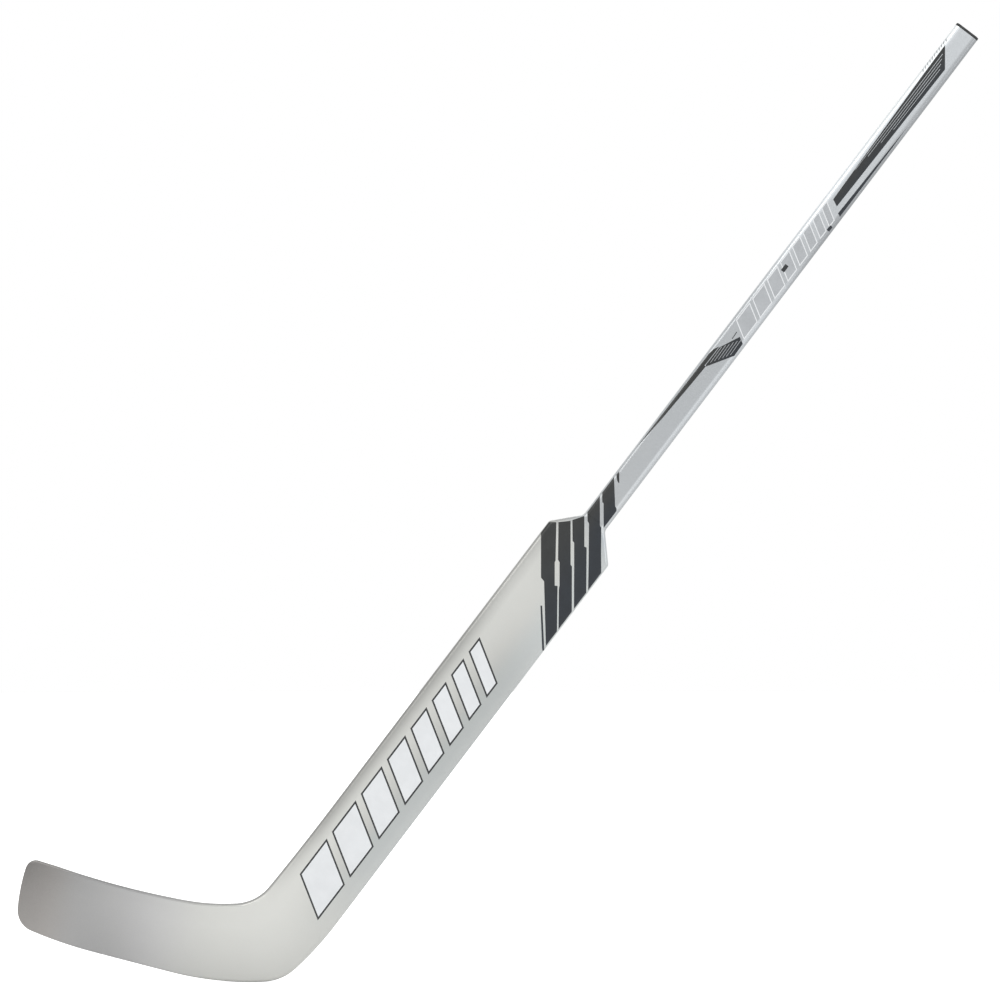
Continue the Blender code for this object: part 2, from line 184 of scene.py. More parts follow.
class StickShaft(bpy.types.PropertyGroup):
    """Sizes of the shaft and its cap"""

    length: length_property("Length", "From the neck to the end of the cap", mount_distance("butt_face"))
    width: length_property("Width", "Across the wide faces", 0.032)
    thickness: length_property("Thickness", "From front to back", depth_of("end_cap"))
    corner: length_property("Corner", "Radius along the long edges", 0.005)
    wall: length_property("Wall", "Thickness of the tube's wall", 0.002)
    crown: length_property("Crown", "How far each face swells", 0.00012)
    cap_flange: length_property("Cap flange", "Height of the cap above the tube", 0.003)
    cap_round: length_property("Cap rounding", "Radius round the cap's outer edge", 0.0011)
    cap_dish: length_property("Cap dish", "Depth of the shallow dish in the cap's end", 0.0004)


class StickPaddle(bpy.types.PropertyGroup):
    """Sizes of the paddle and its shoulders"""

    length: length_property("Length", "From the corner of heel and sole to the neck", 0.684)
    width: length_property("Width", "Across the paddle", 0.0889)
    wall: length_property("Wall", "Thickness of the moulded skin", 0.0010)
    crown: length_property("Crown", "How far the faces fall off to the edges", 0.0004)
    shoulder: length_property("Shoulder", "Length of the slope up to the shaft", 0.0305)
    shoulder_radius: length_property("Shoulder rounding", "Outer corner of a shoulder", 0.007)
    neck_radius: length_property("Neck rounding", "Inner corner at the shaft", 0.009)


class StickBlade(bpy.types.PropertyGroup):
    """Sizes of the blade"""

    length: length_property("Length", "From the corner of heel and sole to the toe", 0.3362)
    height: length_property("Height", "Above the sole where the elbow ends", 0.0875)
    root_thickness: length_property("Root thickness", "At the heel", 0.012)
    toe_thickness: length_property("Toe thickness", "At the toe", 0.007)
    edge: length_property("Edge", "Radius along the blade's edges", 0.0026)
    curve: length_property("Curve", "How far the toe bends back", 0.015)
    bow: length_property("Toe bow", "How far the toe's face swells", 0.0014)
    wall: length_property("Wall", "Thickness of the moulded skin", 0.0008)
    crown: length_property("Crown", "How far the faces fall off to the edges", 0.00015)


class StickMarks(bpy.types.PropertyGroup):
    """Sizes of the plain slanted bars"""

    paddle_bars: IntProperty(name="Paddle bars", description="Bars on the paddle", default=8, min=1)
    paddle_start: length_property("Paddle start", "Below the neck, where the first bar begins", 0.5795)
    paddle_run: length_property("Paddle run", "Length of the row of bars", 0.3875)
    paddle_gap: length_property("Paddle gap", "Between two bars", 0.010)
    paddle_outline: length_property("Paddle outline", "Width of the dark line", 0.0021)
    shaft_bars: IntProperty(name="Shaft bars", description="Bars on the shaft", default=8, min=1)
    shaft_start: length_property("Shaft start", "Above the neck, where the first bar begins", 0.283)
    shaft_run: length_property("Shaft run", "Length of the row of bars", 0.193)
    shaft_gap: length_property("Shaft gap", "Between two bars", 0.005)
    shaft_outline: length_property("Shaft outline", "Width of the light line", 0.0012)
    shrink: share_property("Shrink", "Width of each bar as a share of the one before", 0.88)


class StickFinish(bpy.types.PropertyGroup):
    """Colours of the finishes"""

    silver: colour_property("Silver", "Satin silver lacquer", (0.485, 0.508, 0.527))
    warm: colour_property("Warm silver", "Lacquer of paddle and heel", (0.70, 0.705, 0.675))
    blade: colour_property("Blade", "Lacquer half way along the blade", (0.70, 0.70, 0.70))
    # The toe tone is darker than the rest: painted shade at the toe.
    toe: colour_property("Toe silver", "Lacquer fading dark at the toe", (0.284, 0.272, 0.262))
    charcoal: colour_property("Charcoal", "Dark printed blocks", (0.016, 0.019, 0.024))
    white: colour_property("White", "White printed bars", (0.80, 0.82, 0.84))
    outline: colour_property("Outline", "Fine lines round the white bars", (0.028, 0.03, 0.033))
    grey: colour_property("Grey", "Grey printed bars", (0.46, 0.48, 0.50))
    cap: colour_property("Cap", "Moulded cap", (0.018, 0.019, 0.02))
    foam: colour_property("Foam", "Core foam", (0.82, 0.80, 0.70))
    laminate: colour_property("Laminate", "Bare fibre laminate", (0.035, 0.036, 0.04))
    filler: colour_property("Filler", "Dense filled resin", (0.45, 0.33, 0.20))
    insert: colour_property("Insert", "Tough moulded insert", (0.10, 0.10, 0.11))


class StickStudio(bpy.types.PropertyGroup):
    """Floor, light and camera"""

    floor: colour_property("Floor", "Pale floor", (0.90, 0.90, 0.90))
    room: FloatProperty(name="Room light", description="Brightness of the soft room", default=0.78, min=0.0)
    key: FloatProperty(name="Key light", description="Power of the large soft box", default=38, min=0.0)
    fill: FloatProperty(name="Fill light", description="Power of the side soft box", default=13, min=0.0)
    distance: length_property("Camera distance", "From the stick's plane", 6.0)
    view_width: length_property("View width", "How much the camera takes in at the stick", 1.2)


# ----------------------------------------
# Outlines


def on_axis(along, across, depth=0.0):
    """A point measured up the shaft from the neck, across it, and front to back."""
    return ALONG * along + ACROSS * across + DEPTH * depth


def arc_chain(start, heading, arcs):
    """Points along tangent arcs (radius, signed turn); a straight stretch is (None, length)."""
    points = [Vector(start)]
    for radius, turn in arcs:
        ahead = Vector((cos(heading), sin(heading)))
        if radius is None:
            points.append(points[-1] + ahead * turn)
            continue
        side = 1 if turn > 0 else -1
        centre = points[-1] + Vector((-ahead.y, ahead.x)) * radius * side
        for step in range(1, ARC_STEPS + 1):
            now = heading + turn * step / ARC_STEPS
            points.append(centre + Vector((sin(now), -cos(now))) * radius * side)
        heading += turn
    return points


def resample(points, count):
    """count + 1 points at equal distances along a polyline."""
    lengths = [(b - a).length for a, b in zip(points, points[1:])]
    found = [points[0]]
    for step in range(1, count):
        left = sum(lengths) * step / count
        index = 0
        while left > lengths[index]:
            left -= lengths[index]
            index += 1
        found.append(points[index].lerp(points[index + 1], left / lengths[index]))
    return found + [points[-1]]


def shoulder_profile(shaft, paddle):
    """(distance up the axis, half width) from the neck down to the full width of the paddle."""
    rise = (paddle.width - shaft.width) / 2
    slope = atan2(rise, paddle.shoulder)
    neck_lead = paddle.neck_radius * tan(slope / 2)
    flank = hypot(rise, paddle.shoulder) - neck_lead - paddle.shoulder_radius * tan(slope / 2)
    arcs = [(paddle.neck_radius, -slope), (None, flank), (paddle.shoulder_radius, slope)]
    points = arc_chain((neck_lead, shaft.width / 2), pi, arcs)
    neck, rest = points[: ARC_STEPS + 1], points[ARC_STEPS + 1 :]
    return neck[::NECK_STEP] + rest[::NECK_STEP] + ([] if len(rest) % NECK_STEP else [rest[-1]])


class Outline:
    """The stick's outline as stations: rails on the upper and lower edge, half thickness, rounding."""

    def __init__(self, scene):
        self.shaft = scene.stick_shaft
        self.paddle_sizes = scene.stick_paddle
        self.blade_sizes = scene.stick_blade
        self.heel_corner = on_axis(-self.paddle_sizes.length, self.paddle_sizes.width / 2)
        self.shoulder = shoulder_profile(self.shaft, self.paddle_sizes)
        self.paddle, self.heel = self.paddle_and_heel()
        self.blade = self.toe_stations()

    def on_blade(self, point):
        """A point given as (distance towards the toe, height above the sole)."""
        return self.heel_corner + TO_TOE * point[0] + OFF_SOLE * point[1]

    def heel_line(self):
        """From the paddle's lower edge round the heel to the flat of the sole."""
        arcs = [(radius, LIE * share) for radius, share in HEEL_ARCS]
        up_paddle = Vector((-cos(LIE), sin(LIE)))
        points = arc_chain((0, 0), atan2(-up_paddle.y, -up_paddle.x), arcs)
        start = up_paddle * (-points[-1].y / up_paddle.y)
        return [point + start for point in points]

    def elbow_line(self):
        """From the paddle's upper edge round the elbow to the top of the blade."""
        arcs = [(radius, LIE * share) for radius, share in ELBOW_ARCS]
        points = arc_chain((0, 0), -LIE, arcs)
        edge = Vector((sin(LIE), cos(LIE))) * self.paddle_sizes.width
        up_paddle = Vector((-cos(LIE), sin(LIE)))
        rise = self.blade_sizes.height - points[-1].y - edge.y
        start = edge + up_paddle * (rise / up_paddle.y)
        return [point + start for point in points]

    def toe_line(self):
        """The toe from the flat of the sole to the blade's top: (sole, lower corner, upper corner)."""
        sole = arc_chain((0, 0), 0, [TOE_ROCKER])
        lower = arc_chain(sole[-1], TOE_ROCKER[1], [TOE_LOWER_CORNER])
        heading = TOE_ROCKER[1] + TOE_LOWER_CORNER[1]
        face_height = TOE_HEIGHT - lower[-1].y - TOE_UPPER_CORNER[0]
        turn = face_height / TOE_FACE_RADIUS
        face = arc_chain(lower[-1], heading, [(TOE_FACE_RADIUS, turn)])
        upper = arc_chain(face[-1], heading + turn, [TOE_UPPER_CORNER])
        tip = max(point.x for point in face)
        shift = Vector((self.blade_sizes.length - self.blade_sizes.bow - tip, 0))
        return [[point + shift for point in stretch] for stretch in (sole, lower, upper)]

    def paddle_station(self, along, half, upper=None):
        """A station square to the shaft, unless its upper point is given."""
        thick = self.shaft.thickness / 2
        start = on_axis(along, -half) if upper is None else upper
        return Station(start, on_axis(along, half), thick, self.shaft.corner, 0.0)

    def paddle_and_heel(self):
        """Stations down the paddle, whose upper edge flares into the elbow, and round the heel."""
        elbow = [self.on_blade(point) for point in self.elbow_line()]
        heel = [self.on_blade(point) for point in self.heel_line()]
        flare = [point for point in elbow if point.dot(ALONG) > heel[0].dot(ALONG)]
        paddle = [self.paddle_station(point.x, point.y) for point in self.shoulder]
        for point in flare[:-1:FLARE_STEP]:
            paddle.append(self.paddle_station(point.dot(ALONG), self.paddle_sizes.width / 2, point))
        upper = resample(elbow[len(flare) - 1 :], HEEL_STATIONS)
        lower = resample(heel, HEEL_STATIONS)
        stations = []
        for index, (top, bottom) in enumerate(zip(upper, lower)):
            share = index / HEEL_STATIONS
            thick = self.shaft.thickness * (1 - share) + self.blade_sizes.root_thickness * share
            radius = self.shaft.corner * (1 - share) + self.blade_sizes.edge * share
            stations.append(Station(top, bottom, thick / 2, radius, 0.0))
        return paddle, stations

    def toe_stations(self):
        """Stations from the end of the heel to the toe's face, bending back and thinning."""
        sizes = self.blade_sizes
        sole, lower_corner, upper_corner = self.toe_line()
        heading = LIE * (sum(share for _, share in ELBOW_ARCS) - 1)
        top = arc_chain(self.elbow_line()[-1], heading, [BLADE_TOP_ARC]) + [upper_corner[-1]]
        upper = resample(top, BLADE_STATIONS) + resample(upper_corner[::-1], NOSE_STATIONS)[1:]
        lower = resample([self.heel_line()[-1]] + sole, BLADE_STATIONS)
        lower += resample(lower_corner, NOSE_STATIONS)[1:]
        root = min(upper[0].x, lower[0].x)
        face = max(upper[-1].x, lower[-1].x)
        stations = []
        for index, rails in enumerate(zip(upper, lower)):
            shares = [(point.x - root) / (sizes.length - root) for point in rails]
            places = [self.on_blade(p) + DEPTH * sizes.curve * t**2 for p, t in zip(rails, shares)]
            taper = sum(shares) / 2
            half = (sizes.root_thickness * (1 - taper) + sizes.toe_thickness * taper) / 2
            left = max(face - (upper[index].x + lower[index].x) / 2, 0.0)
            if left < sizes.edge:
                half -= sizes.edge - sqrt(sizes.edge**2 - (sizes.edge - left) ** 2)
            nose = max(index - BLADE_STATIONS, 0) / NOSE_STATIONS
            stations.append(Station(*places, half, sizes.edge, sizes.bow * nose))
        return stations


# ----------------------------------------
# Skins


def skin_points(station, side, crown, wall, solid):
    """A ring round one half of the section: [(place, rim, across)] outside, then inside back."""
    width = (station.lower - station.upper).length
    across = (station.lower - station.upper) / width
    floor = PART_LINE / 2
    top = station.half - crown
    radius = min(station.radius, top * FULLEST_ROUND)
    quarter = [pi / 2 * step / CORNER_STEPS for step in range(CORNER_STEPS + 1)]
    near = [(radius * (1 - cos(a)), top - radius + radius * sin(a), cos(a)) for a in quarter]
    flat = []
    for column in range(1, COLUMNS):
        share = column / COLUMNS
        fall = crown * abs(2 * share - 1) ** CROWN_POWER
        flat.append((radius + (width - 2 * radius) * share, station.half - fall, 0.0))
    far = [(width - p, y, rim) for p, y, rim in reversed(near)]
    outer = [(0.0, floor, 1.0)] + near + flat + far + [(width, floor, 1.0)]
    ring = [(p, y, rim, p / width) for p, y, rim in outer]
    for p, y, rim in reversed(outer):
        inner = min(max(p, wall), width - wall) if p < width / 2 else max(min(p, width - wall), wall)
        depth = floor if solid else max(floor, y - wall)
        if p in (0.0, width):
            depth = floor
        ring.append((inner, depth, 0.0, p / width))
    placed = []
    for p, y, rim, share in ring:
        place = station.upper + across * p + DEPTH * y * side
        place += TO_TOE * station.bow * 4 * share * (1 - share)
        placed.append((place, rim, share))
    return placed, len(outer)


def shaft_points(shaft, inset, along, crown=0.0):
    """A ring round the shaft's whole section: [(place, rim, across)]."""
    half_width = shaft.width / 2 - inset
    half_depth = shaft.thickness / 2 - inset
    radius = shaft.corner - inset
    quarter = [pi / 2 * step / CORNER_STEPS for step in range(CORNER_STEPS + 1)]
    run = [-1 + 2 * step / SHAFT_COLUMNS for step in range(1, SHAFT_COLUMNS)]
    side = []
    for angle in quarter:
        reach = half_width - radius + radius * cos(angle)
        side.append((reach, half_depth - radius + radius * sin(angle) - crown, cos(angle)))
    face = [(-u * (half_width - radius), half_depth - crown * u * u, 0.0) for u in run]
    edge = [(-half_width, -u * (half_depth - radius), 1.0) for u in run]
    top = side + face + [(-t, y, rim) for t, y, rim in reversed(side)] + edge
    ring = top + [(-t, -y, rim) for t, y, rim in top]
    return [(on_axis(along, t, y), rim, 0.5 + t / shaft.width) for t, y, rim in ring]


def layers_of(bm):
    """The attributes that a skin's vertices carry: smooth normal, rim, across and down."""
    verts = bm.verts.layers
    return (
        verts.float_vector.new("skin_normal"),
        verts.float.new("rim"),
        verts.float.new("across"),
        verts.float.new("down"),
    )


def loft(bm, rings, tube=False):
    """Lofts closed rings of points into a solid, capped or closed on itself. Returns vertex rings."""
    first = [bm.verts.new(place) for place in rings[0]]
    edges = [bm.edges.new((first[index - 1], first[index])) for index in range(len(first))]
    start = list(edges)
    grown_rings = [first]
    for target in rings[1:]:
        grown = bmesh.ops.extrude_edge_only(bm, edges=edges)["geom"]
        members = {item for item in grown if isinstance(item, bmesh.types.BMVert)}
        ring = []
        for vert in grown_rings[-1]:
            ring.append(next(e.other_vert(vert) for e in vert.link_edges if e.other_vert(vert) in members))
        for vert, place in zip(ring, target):
            vert.co = place
        lines = [item for item in grown if isinstance(item, bmesh.types.BMEdge)]
        edges = [line for line in lines if set(line.verts) <= members]
        grown_rings.append(ring)
    if tube:
        bmesh.ops.bridge_loops(bm, edges=start + edges)
    else:
        bmesh.ops.edgeloop_fill(bm, edges=start)
        bmesh.ops.edgeloop_fill(bm, edges=edges)
    bmesh.ops.recalc_face_normals(bm, faces=bm.faces)
    return grown_rings


def lay_skin(rings, data, count, downs, layers, closed=False):
    """Writes each outer vertex's smooth normal, rim, across and down values."""
    normal_layer, rim_layer, across_layer, down_layer = layers
    for row, (ring, values) in enumerate(zip(rings, data)):
        above, below = rings[max(row - 1, 0)], rings[min(row + 1, len(rings) - 1)]
        for index, vert in enumerate(ring):
            vert[rim_layer] = values[index][1]
            vert[across_layer] = values[index][2]
            vert[down_layer] = downs[row]
            if index >= count:
                continue
            if closed:
                before, after = ring[index - 1], ring[(index + 1) % count]
            else:
                before, after = ring[max(index - 1, 0)], ring[min(index + 1, count - 1)]
            normal = (after.co - before.co).cross(below[index].co - above[index].co)
            if normal.length:
                vert[normal_layer] = normal.normalized()


def face_skin_out(bm, layers):
    """Turns the smooth normals to the side that the faces look to."""
    for vert in bm.verts:
        if not vert[layers[0]].length:
            continue
        agree = sum(vert[layers[0]].dot(face.normal) for face in vert.link_faces)
        if agree < 0:
            vert[layers[0]] = -vert[layers[0]]


def finished(name, bm, finishes, skin=True):
    """Makes the object. Skins keep their smooth normals; other pieces are smooth up to sharp edges."""
    bm.normal_update()
    if not skin:
        for edge in bm.edges:
            edge.smooth = len(edge.link_faces) == 2 and edge.calc_face_angle() < SHARP
    for face in bm.faces:
        face.smooth = True
    mesh = bpy.data.meshes.new(name)
    bm.to_mesh(mesh)
    bm.free()
    for finish in finishes:
        mesh.materials.append(finish)
    if skin:
        wanted = mesh.attributes["skin_normal"].data
        normals = []
        for face in mesh.polygons:
            for index in face.vertices:
                smooth = wanted[index].vector
                near = smooth.dot(face.normal) > SKIN_SHARP
                normals.append(smooth.normalized() if near else face.normal)
        mesh.normals_split_custom_set(normals)
    made = bpy.data.objects.new(name, mesh)
    bpy.context.scene.collection.objects.link(made)
    return made


# ----------------------------------------
# Printed marks: convex patches cut into the skin, given in millimetres

GRAZING = 0.08  # a face that looks less to the front or the back than this takes no print
TOUCH = 1e-6


def in_plane(x, z):
    """A point of the stick's plane, from millimetres across and up."""
    return Vector((x * MM, 0, z * MM))


def on_stick(along, across):
    """A point of the stick's plane, from millimetres up the shaft and across it."""
    return on_axis(along * MM, across * MM)


def fences_round(points, inset=0.0):
    """The planes round a convex patch: [(point, outward direction)]."""
    centre = sum(points, Vector()) / len(points)
    fences = []
    for start, end in zip(points, points[1:] + points[:1]):
        outward = (end - start).cross(DEPTH).normalized()
        if outward.dot(start - centre) < 0:
            outward = -outward
        fences.append((start - outward * inset, outward))
    return fences


def print_patch(bm, side, fences, slot):
    """Cuts a patch's outline into the faces on one side and gives the patch its ink."""
    bm.normal_update()
    faces = [face for face in bm.faces if face.normal.y * side > GRAZING]
    for point, outward in fences:
        faces = [f for f in faces if any((v.co - point).dot(outward) < -TOUCH for v in f.verts)]
        if not faces:
            return
        edges = {edge for face in faces for edge in face.edges}
        verts = {vert for face in faces for vert in face.verts}
        cut = bmesh.ops.bisect_plane(
            bm,
            geom=[*faces, *edges, *verts],
            dist=TOUCH,
            plane_co=point,
            plane_no=outward,
        )
        split = {item for item in cut["geom"] if isinstance(item, bmesh.types.BMFace)}
        kept = [f for f in split if (f.calc_center_median() - point).dot(outward) < 0]
        faces = [face for face in kept if face.normal.y * side > GRAZING]
    for face in faces:
        face.material_index = slot


# Shoulder blocks: left and right edges from the top down, in the stick's plane
BLOCKS = (
    (
        ((-63.9, 1.0), (-63.9, -65.5), (-60.2, -70), (-57.6, -165)),
        ((-45.5, 1.0), (-46.4, -45), (-47.4, -47), (-47.4, -75), (-44, -75.4), (-45.2, -165)),
    ),
    (
        ((-43, 1.0), (-43.5, -44), (-41.7, -47), (-41.7, -74.6), (-42.5, -79), (-43.2, -165)),
        ((-28.4, 2.6), (-28.4, -50), (-26.8, -52), (-27.1, -165)),
    ),
    (
        ((-26.3, 3.6), (-26.1, -21.5), (-24.2, -23.6), (-24.2, -50), (-24.7, -165)),
        ((-11.9, 8.4), (-11.9, -28.2), (-9.2, -29.6), (-10.2, -165)),
    ),
    (
        ((-8.4, 24), (-8.1, 2.4), (-6.4, -0.6), (-6.9, -50), (-9, -165)),
        ((6.6, 40), (6.8, -3.6), (8.4, -5.1), (8.1, -35), (9.4, -165)),
    ),
)
SHAFT_BLOCK = (
    ((9.2, 48), (9.5, 24.7), (11, 24), (11.3, -20)),
    ((23.2, 66), (25, 19.6), (26.6, 17.4), (26.6, -8)),
)
SLIVERS = (
    ((-64.6, -99), (-62.5, -99), (-59.9, -153), (-62.4, -153)),
    ((26.3, 57.5), (29.9, 62.0), (29.9, 47.2), (27.6, 50.0)),
)
BLOCK_LOWER = 42.9  # printing stops this far across, just short of the lower edge
BLOCK_UPPER = -43.9
SHAFT_UPPER = -14.4
SHAFT_LOWER = 12.6
ON_SHOULDER = 3  # how many of the blocks end under the upper shoulder
LEAST_BAND = 0.5  # no band of a block ends closer than this to its top


def edge_at(line, z):
    """Where an edge stands at a height, on its polyline from the top down."""
    for above, below in zip(line, line[1:]):
        if below[1] <= z <= above[1]:
            share = (above[1] - z) / (above[1] - below[1])
            return above[0] + (below[0] - above[0]) * share
    return line[0][0] if z > line[0][1] else line[-1][0]


def print_block(bm, side, left, right, upper, lower):
    """A block between two edges, in bands that are each convex, fenced by the stick's own edges."""
    ceiling = min(left[0][1], right[0][1]) - LEAST_BAND
    floor = max(left[-1][1], right[-1][1])
    breaks = {z for _, z in left + right if floor < z < ceiling}
    steps = sorted(breaks | {floor}, reverse=True)
    corners = [in_plane(*left[0]), in_plane(*right[0])]
    limits = [(on_stick(0, upper), -ACROSS), (on_stick(0, lower), ACROSS)]
    for z in steps:
        low = [in_plane(edge_at(right, z), z), in_plane(edge_at(left, z), z)]
        print_patch(bm, side, fences_round(corners + low) + limits, CHARCOAL)
        corners = low[::-1]


def print_neck(bm, side):
    """The dark blocks on the shoulders and the foot of the shaft."""
    for index, (left, right) in enumerate(BLOCKS):
        upper = BLOCK_UPPER if index < ON_SHOULDER else SHAFT_UPPER
        print_block(bm, side, left, right, upper, BLOCK_LOWER)
    print_block(bm, side, *SHAFT_BLOCK, SHAFT_UPPER, SHAFT_LOWER)
    for sliver in SLIVERS:
        print_patch(bm, side, fences_round([in_plane(*p) for p in sliver]), CHARCOAL)


def slanted_bars(count, shrink, start, run, gap, low, high, lean):
    """Corners of a row of slanted bars, each narrower than the one before."""
    start, run, gap = start / MM, run / MM, gap / MM
    room = run - lean - gap * (count - 1)
    first = room * (1 - shrink) / (1 - shrink**count)
    place = start
    for index in range(count):
        width = first * shrink**index
        yield (place, high), (place + width, high), (place + width + lean, low), (place + lean, low)
        place += width + gap


def print_bars(bm, side, bars, line_width, line_slot, fill_slot):
    """Bars with a fine line round each."""
    for bar in bars:
        corners = [on_stick(*corner) for corner in bar]
        print_patch(bm, side, fences_round(corners), line_slot)
        print_patch(bm, side, fences_round(corners, line_width), fill_slot)


# Rows of bars: from and to across the stick, and how far each bar leans
PADDLE_BARS = (-26.8, 24.0, 31.0)
SHAFT_BARS = (-11.6, 10.2, 13.0)


def print_paddle_bars(bm, side, marks):
    """The row of white bars along the paddle."""
    sizes = (marks.shrink, -marks.paddle_start, marks.paddle_run, marks.paddle_gap)
    bars = slanted_bars(marks.paddle_bars, *sizes, *PADDLE_BARS)
    print_bars(bm, side, bars, marks.paddle_outline, OUTLINE, WHITE)


# Marks on the shaft, up the shaft and across it
WEDGE = ((103, -14.3), (230, -13.4), (230, -7.0), (205, -8.0), (150, -10.9))
BOX_TAIL = ((229, -13.4), (244, -13.4), (252, -12.2), (259, -8.6), (229, -8.8))
BOX = ((229.8, -6.9), (232, -8.1), (258, -7.9), (283, 4.0), (278.5, 12.0), (261, 12.6))
STRIP = (
    ((477.6, 2.2), (481.8, -6.5), (624, -10.0), (624, 4.9)),
    ((624, -10.0), (641, -10.4), (641, 5.4), (624, 4.9)),
    ((641, -10.5), (710.3, -11.6), (686.8, 6.2), (641, 5.4)),
)
LOWER_WEDGE = ((472, 8.3), (470, 12.6), (575, 12.6), (606, 11.9))
SMALL_MARKS = (
    ((448, 9.4), (455, 9.4), (455, 13.2), (448, 13.2)),
    ((376.5, -5.2), (385.6, -5.2), (385.6, -0.4), (376.5, -0.4)),
    ((275.5, -2.4), (285.5, -2.9), (285.5, -1.9), (275.5, -1.4)),
)

# Rows of fine marks: how many, the first one, how far each corner moves on to the next, slot
BOX_LINES = (
    6,
    ((237.08, -5.6), (260.08, -6.4), (260.08, -5.8), (237.08, -5.1)),
    ((4.32, 2.7),) * 4,
    GREY,
)
STRIP_LINES = (
    4,
    ((526, -7.0), (700, -7.6), (700, -7.05), (526, -6.6)),
    ((22, 2.5), (-5.5, 2.85), (-5.5, 2.85), (22, 2.5)),
    SILVER,
)
TICKS = (
    11,
    ((668, -12.6), (670, -12.6), (672.6, -15.4), (670.6, -15.4)),
    ((50 / 11, 0),) * 4,
    GREY,
)


def print_mark(bm, side, shape, slot):
    """A convex patch, its corners given up the shaft and across it."""
    print_patch(bm, side, fences_round([on_stick(*corner) for corner in shape]), slot)


def print_shaft(bm, side, marks):
    """The wedge, box, strip, ticks and bars along the shaft."""
    for shape in (WEDGE, BOX_TAIL, BOX, *STRIP, LOWER_WEDGE):
        print_mark(bm, side, shape, CHARCOAL)
    for count, first, moves, slot in (BOX_LINES, STRIP_LINES, TICKS):
        for index in range(count):
            shape = [(x + dx * index, y + dy * index) for (x, y), (dx, dy) in zip(first, moves)]
            print_mark(bm, side, shape, slot)
    sizes = (marks.shrink, marks.shaft_start, marks.shaft_run, marks.shaft_gap)
    bars = slanted_bars(marks.shaft_bars, *sizes, *SHAFT_BARS)
    print_bars(bm, side, bars, marks.shaft_outline, WHITE, GREY)
    for shape in SMALL_MARKS:
        print_mark(bm, side, shape, CHARCOAL)


# ----------------------------------------
# Materials

MIX_SHARE, MIX_FIRST, MIX_SECOND = 0, 6, 7  # a Mix node's inputs when it mixes colours


def feed(tree, socket, value):
    """Links another socket to an input, or sets a plain value on it."""
    if isinstance(value, bpy.types.NodeSocket):
        tree.links.new(value, socket)
    else:
        socket.default_value = value


def add(tree, kind, inputs=None, **settings):
    """A node with its settings, and its inputs given as values or as sockets to link."""
    made = tree.nodes.new(kind)
    for name, value in settings.items():
        setattr(made, name, value)
    for key, value in (inputs or {}).items():
        feed(tree, made.inputs[key], value)
    return made


def maths(tree, operation, a, b=0.0):
    """One step of arithmetic."""
    return add(tree, "ShaderNodeMath", {0: a, 1: b}, operation=operation).outputs[0]


def times(tree, a, b):
    """a times b."""
    return maths(tree, "MULTIPLY", a, b)


def plus(tree, a, b):
    """a plus b."""
    return maths(tree, "ADD", a, b)


def span(tree, value, low, high, to_low=0.0, to_high=1.0):
    """A value taken from one span to another, smoothly and held at the ends."""
    inputs = {"Value": value, "From Min": low, "From Max": high, "To Min": to_low, "To Max": to_high}
    made = add(tree, "ShaderNodeMapRange", inputs, interpolation_type="SMOOTHSTEP")
    return made.outputs["Result"]


def mix_colour(tree, share, first, second, blend="MIX"):
    """Two colours, each a socket or three numbers, mixed by a share."""
    made = add(tree, "ShaderNodeMix", {MIX_SHARE: share}, data_type="RGBA", blend_type=blend)
    for index, colour in ((MIX_FIRST, first), (MIX_SECOND, second)):
        linked = isinstance(colour, bpy.types.NodeSocket)
        feed(tree, made.inputs[index], colour if linked else (*colour, 1))
    return made.outputs[2]


def as_colour(tone):
    """A tone as a colour: a plain number is a grey."""
    return tone if isinstance(tone, tuple) else (tone, tone, tone)


def ramp(tree, value, stops, interpolation="B_SPLINE"):
    """A colour ramp from its stops: (place, tone)."""
    made = add(tree, "ShaderNodeValToRGB", {"Fac": value})
    made.color_ramp.interpolation = interpolation
    points = made.color_ramp.elements
    points[0].position, points[-1].position = stops[0][0], stops[-1][0]
    for place, _ in stops[1:-1]:
        points.new(place)
    for point, (_, tone) in zip(points, stops):
        point.color = (*as_colour(tone), 1)
    return made.outputs["Color"]


def noise(tree, vector, scale, detail=3.0, roughness=0.5):
    """Soft noise from 0 to 1."""
    inputs = {"Vector": vector, "Scale": scale, "Detail": detail, "Roughness": roughness}
    return add(tree, "ShaderNodeTexNoise", inputs).outputs["Fac"]


def effect(name, inputs, outputs):
    """A shader node group: inputs by name with their defaults, or None for a vector, and outputs."""
    tree = bpy.data.node_groups.new(name, "ShaderNodeTree")
    for key, value in inputs.items():
        kind = "NodeSocketVector" if value is None else "NodeSocketFloat"
        socket = tree.interface.new_socket(name=key, in_out="INPUT", socket_type=kind)
        if value is not None:
            socket.default_value = value
    for key in outputs:
        tree.interface.new_socket(name=key, in_out="OUTPUT", socket_type="NodeSocketFloat")
    return tree, tree.nodes.new("NodeGroupInput").outputs, tree.nodes.new("NodeGroupOutput").inputs


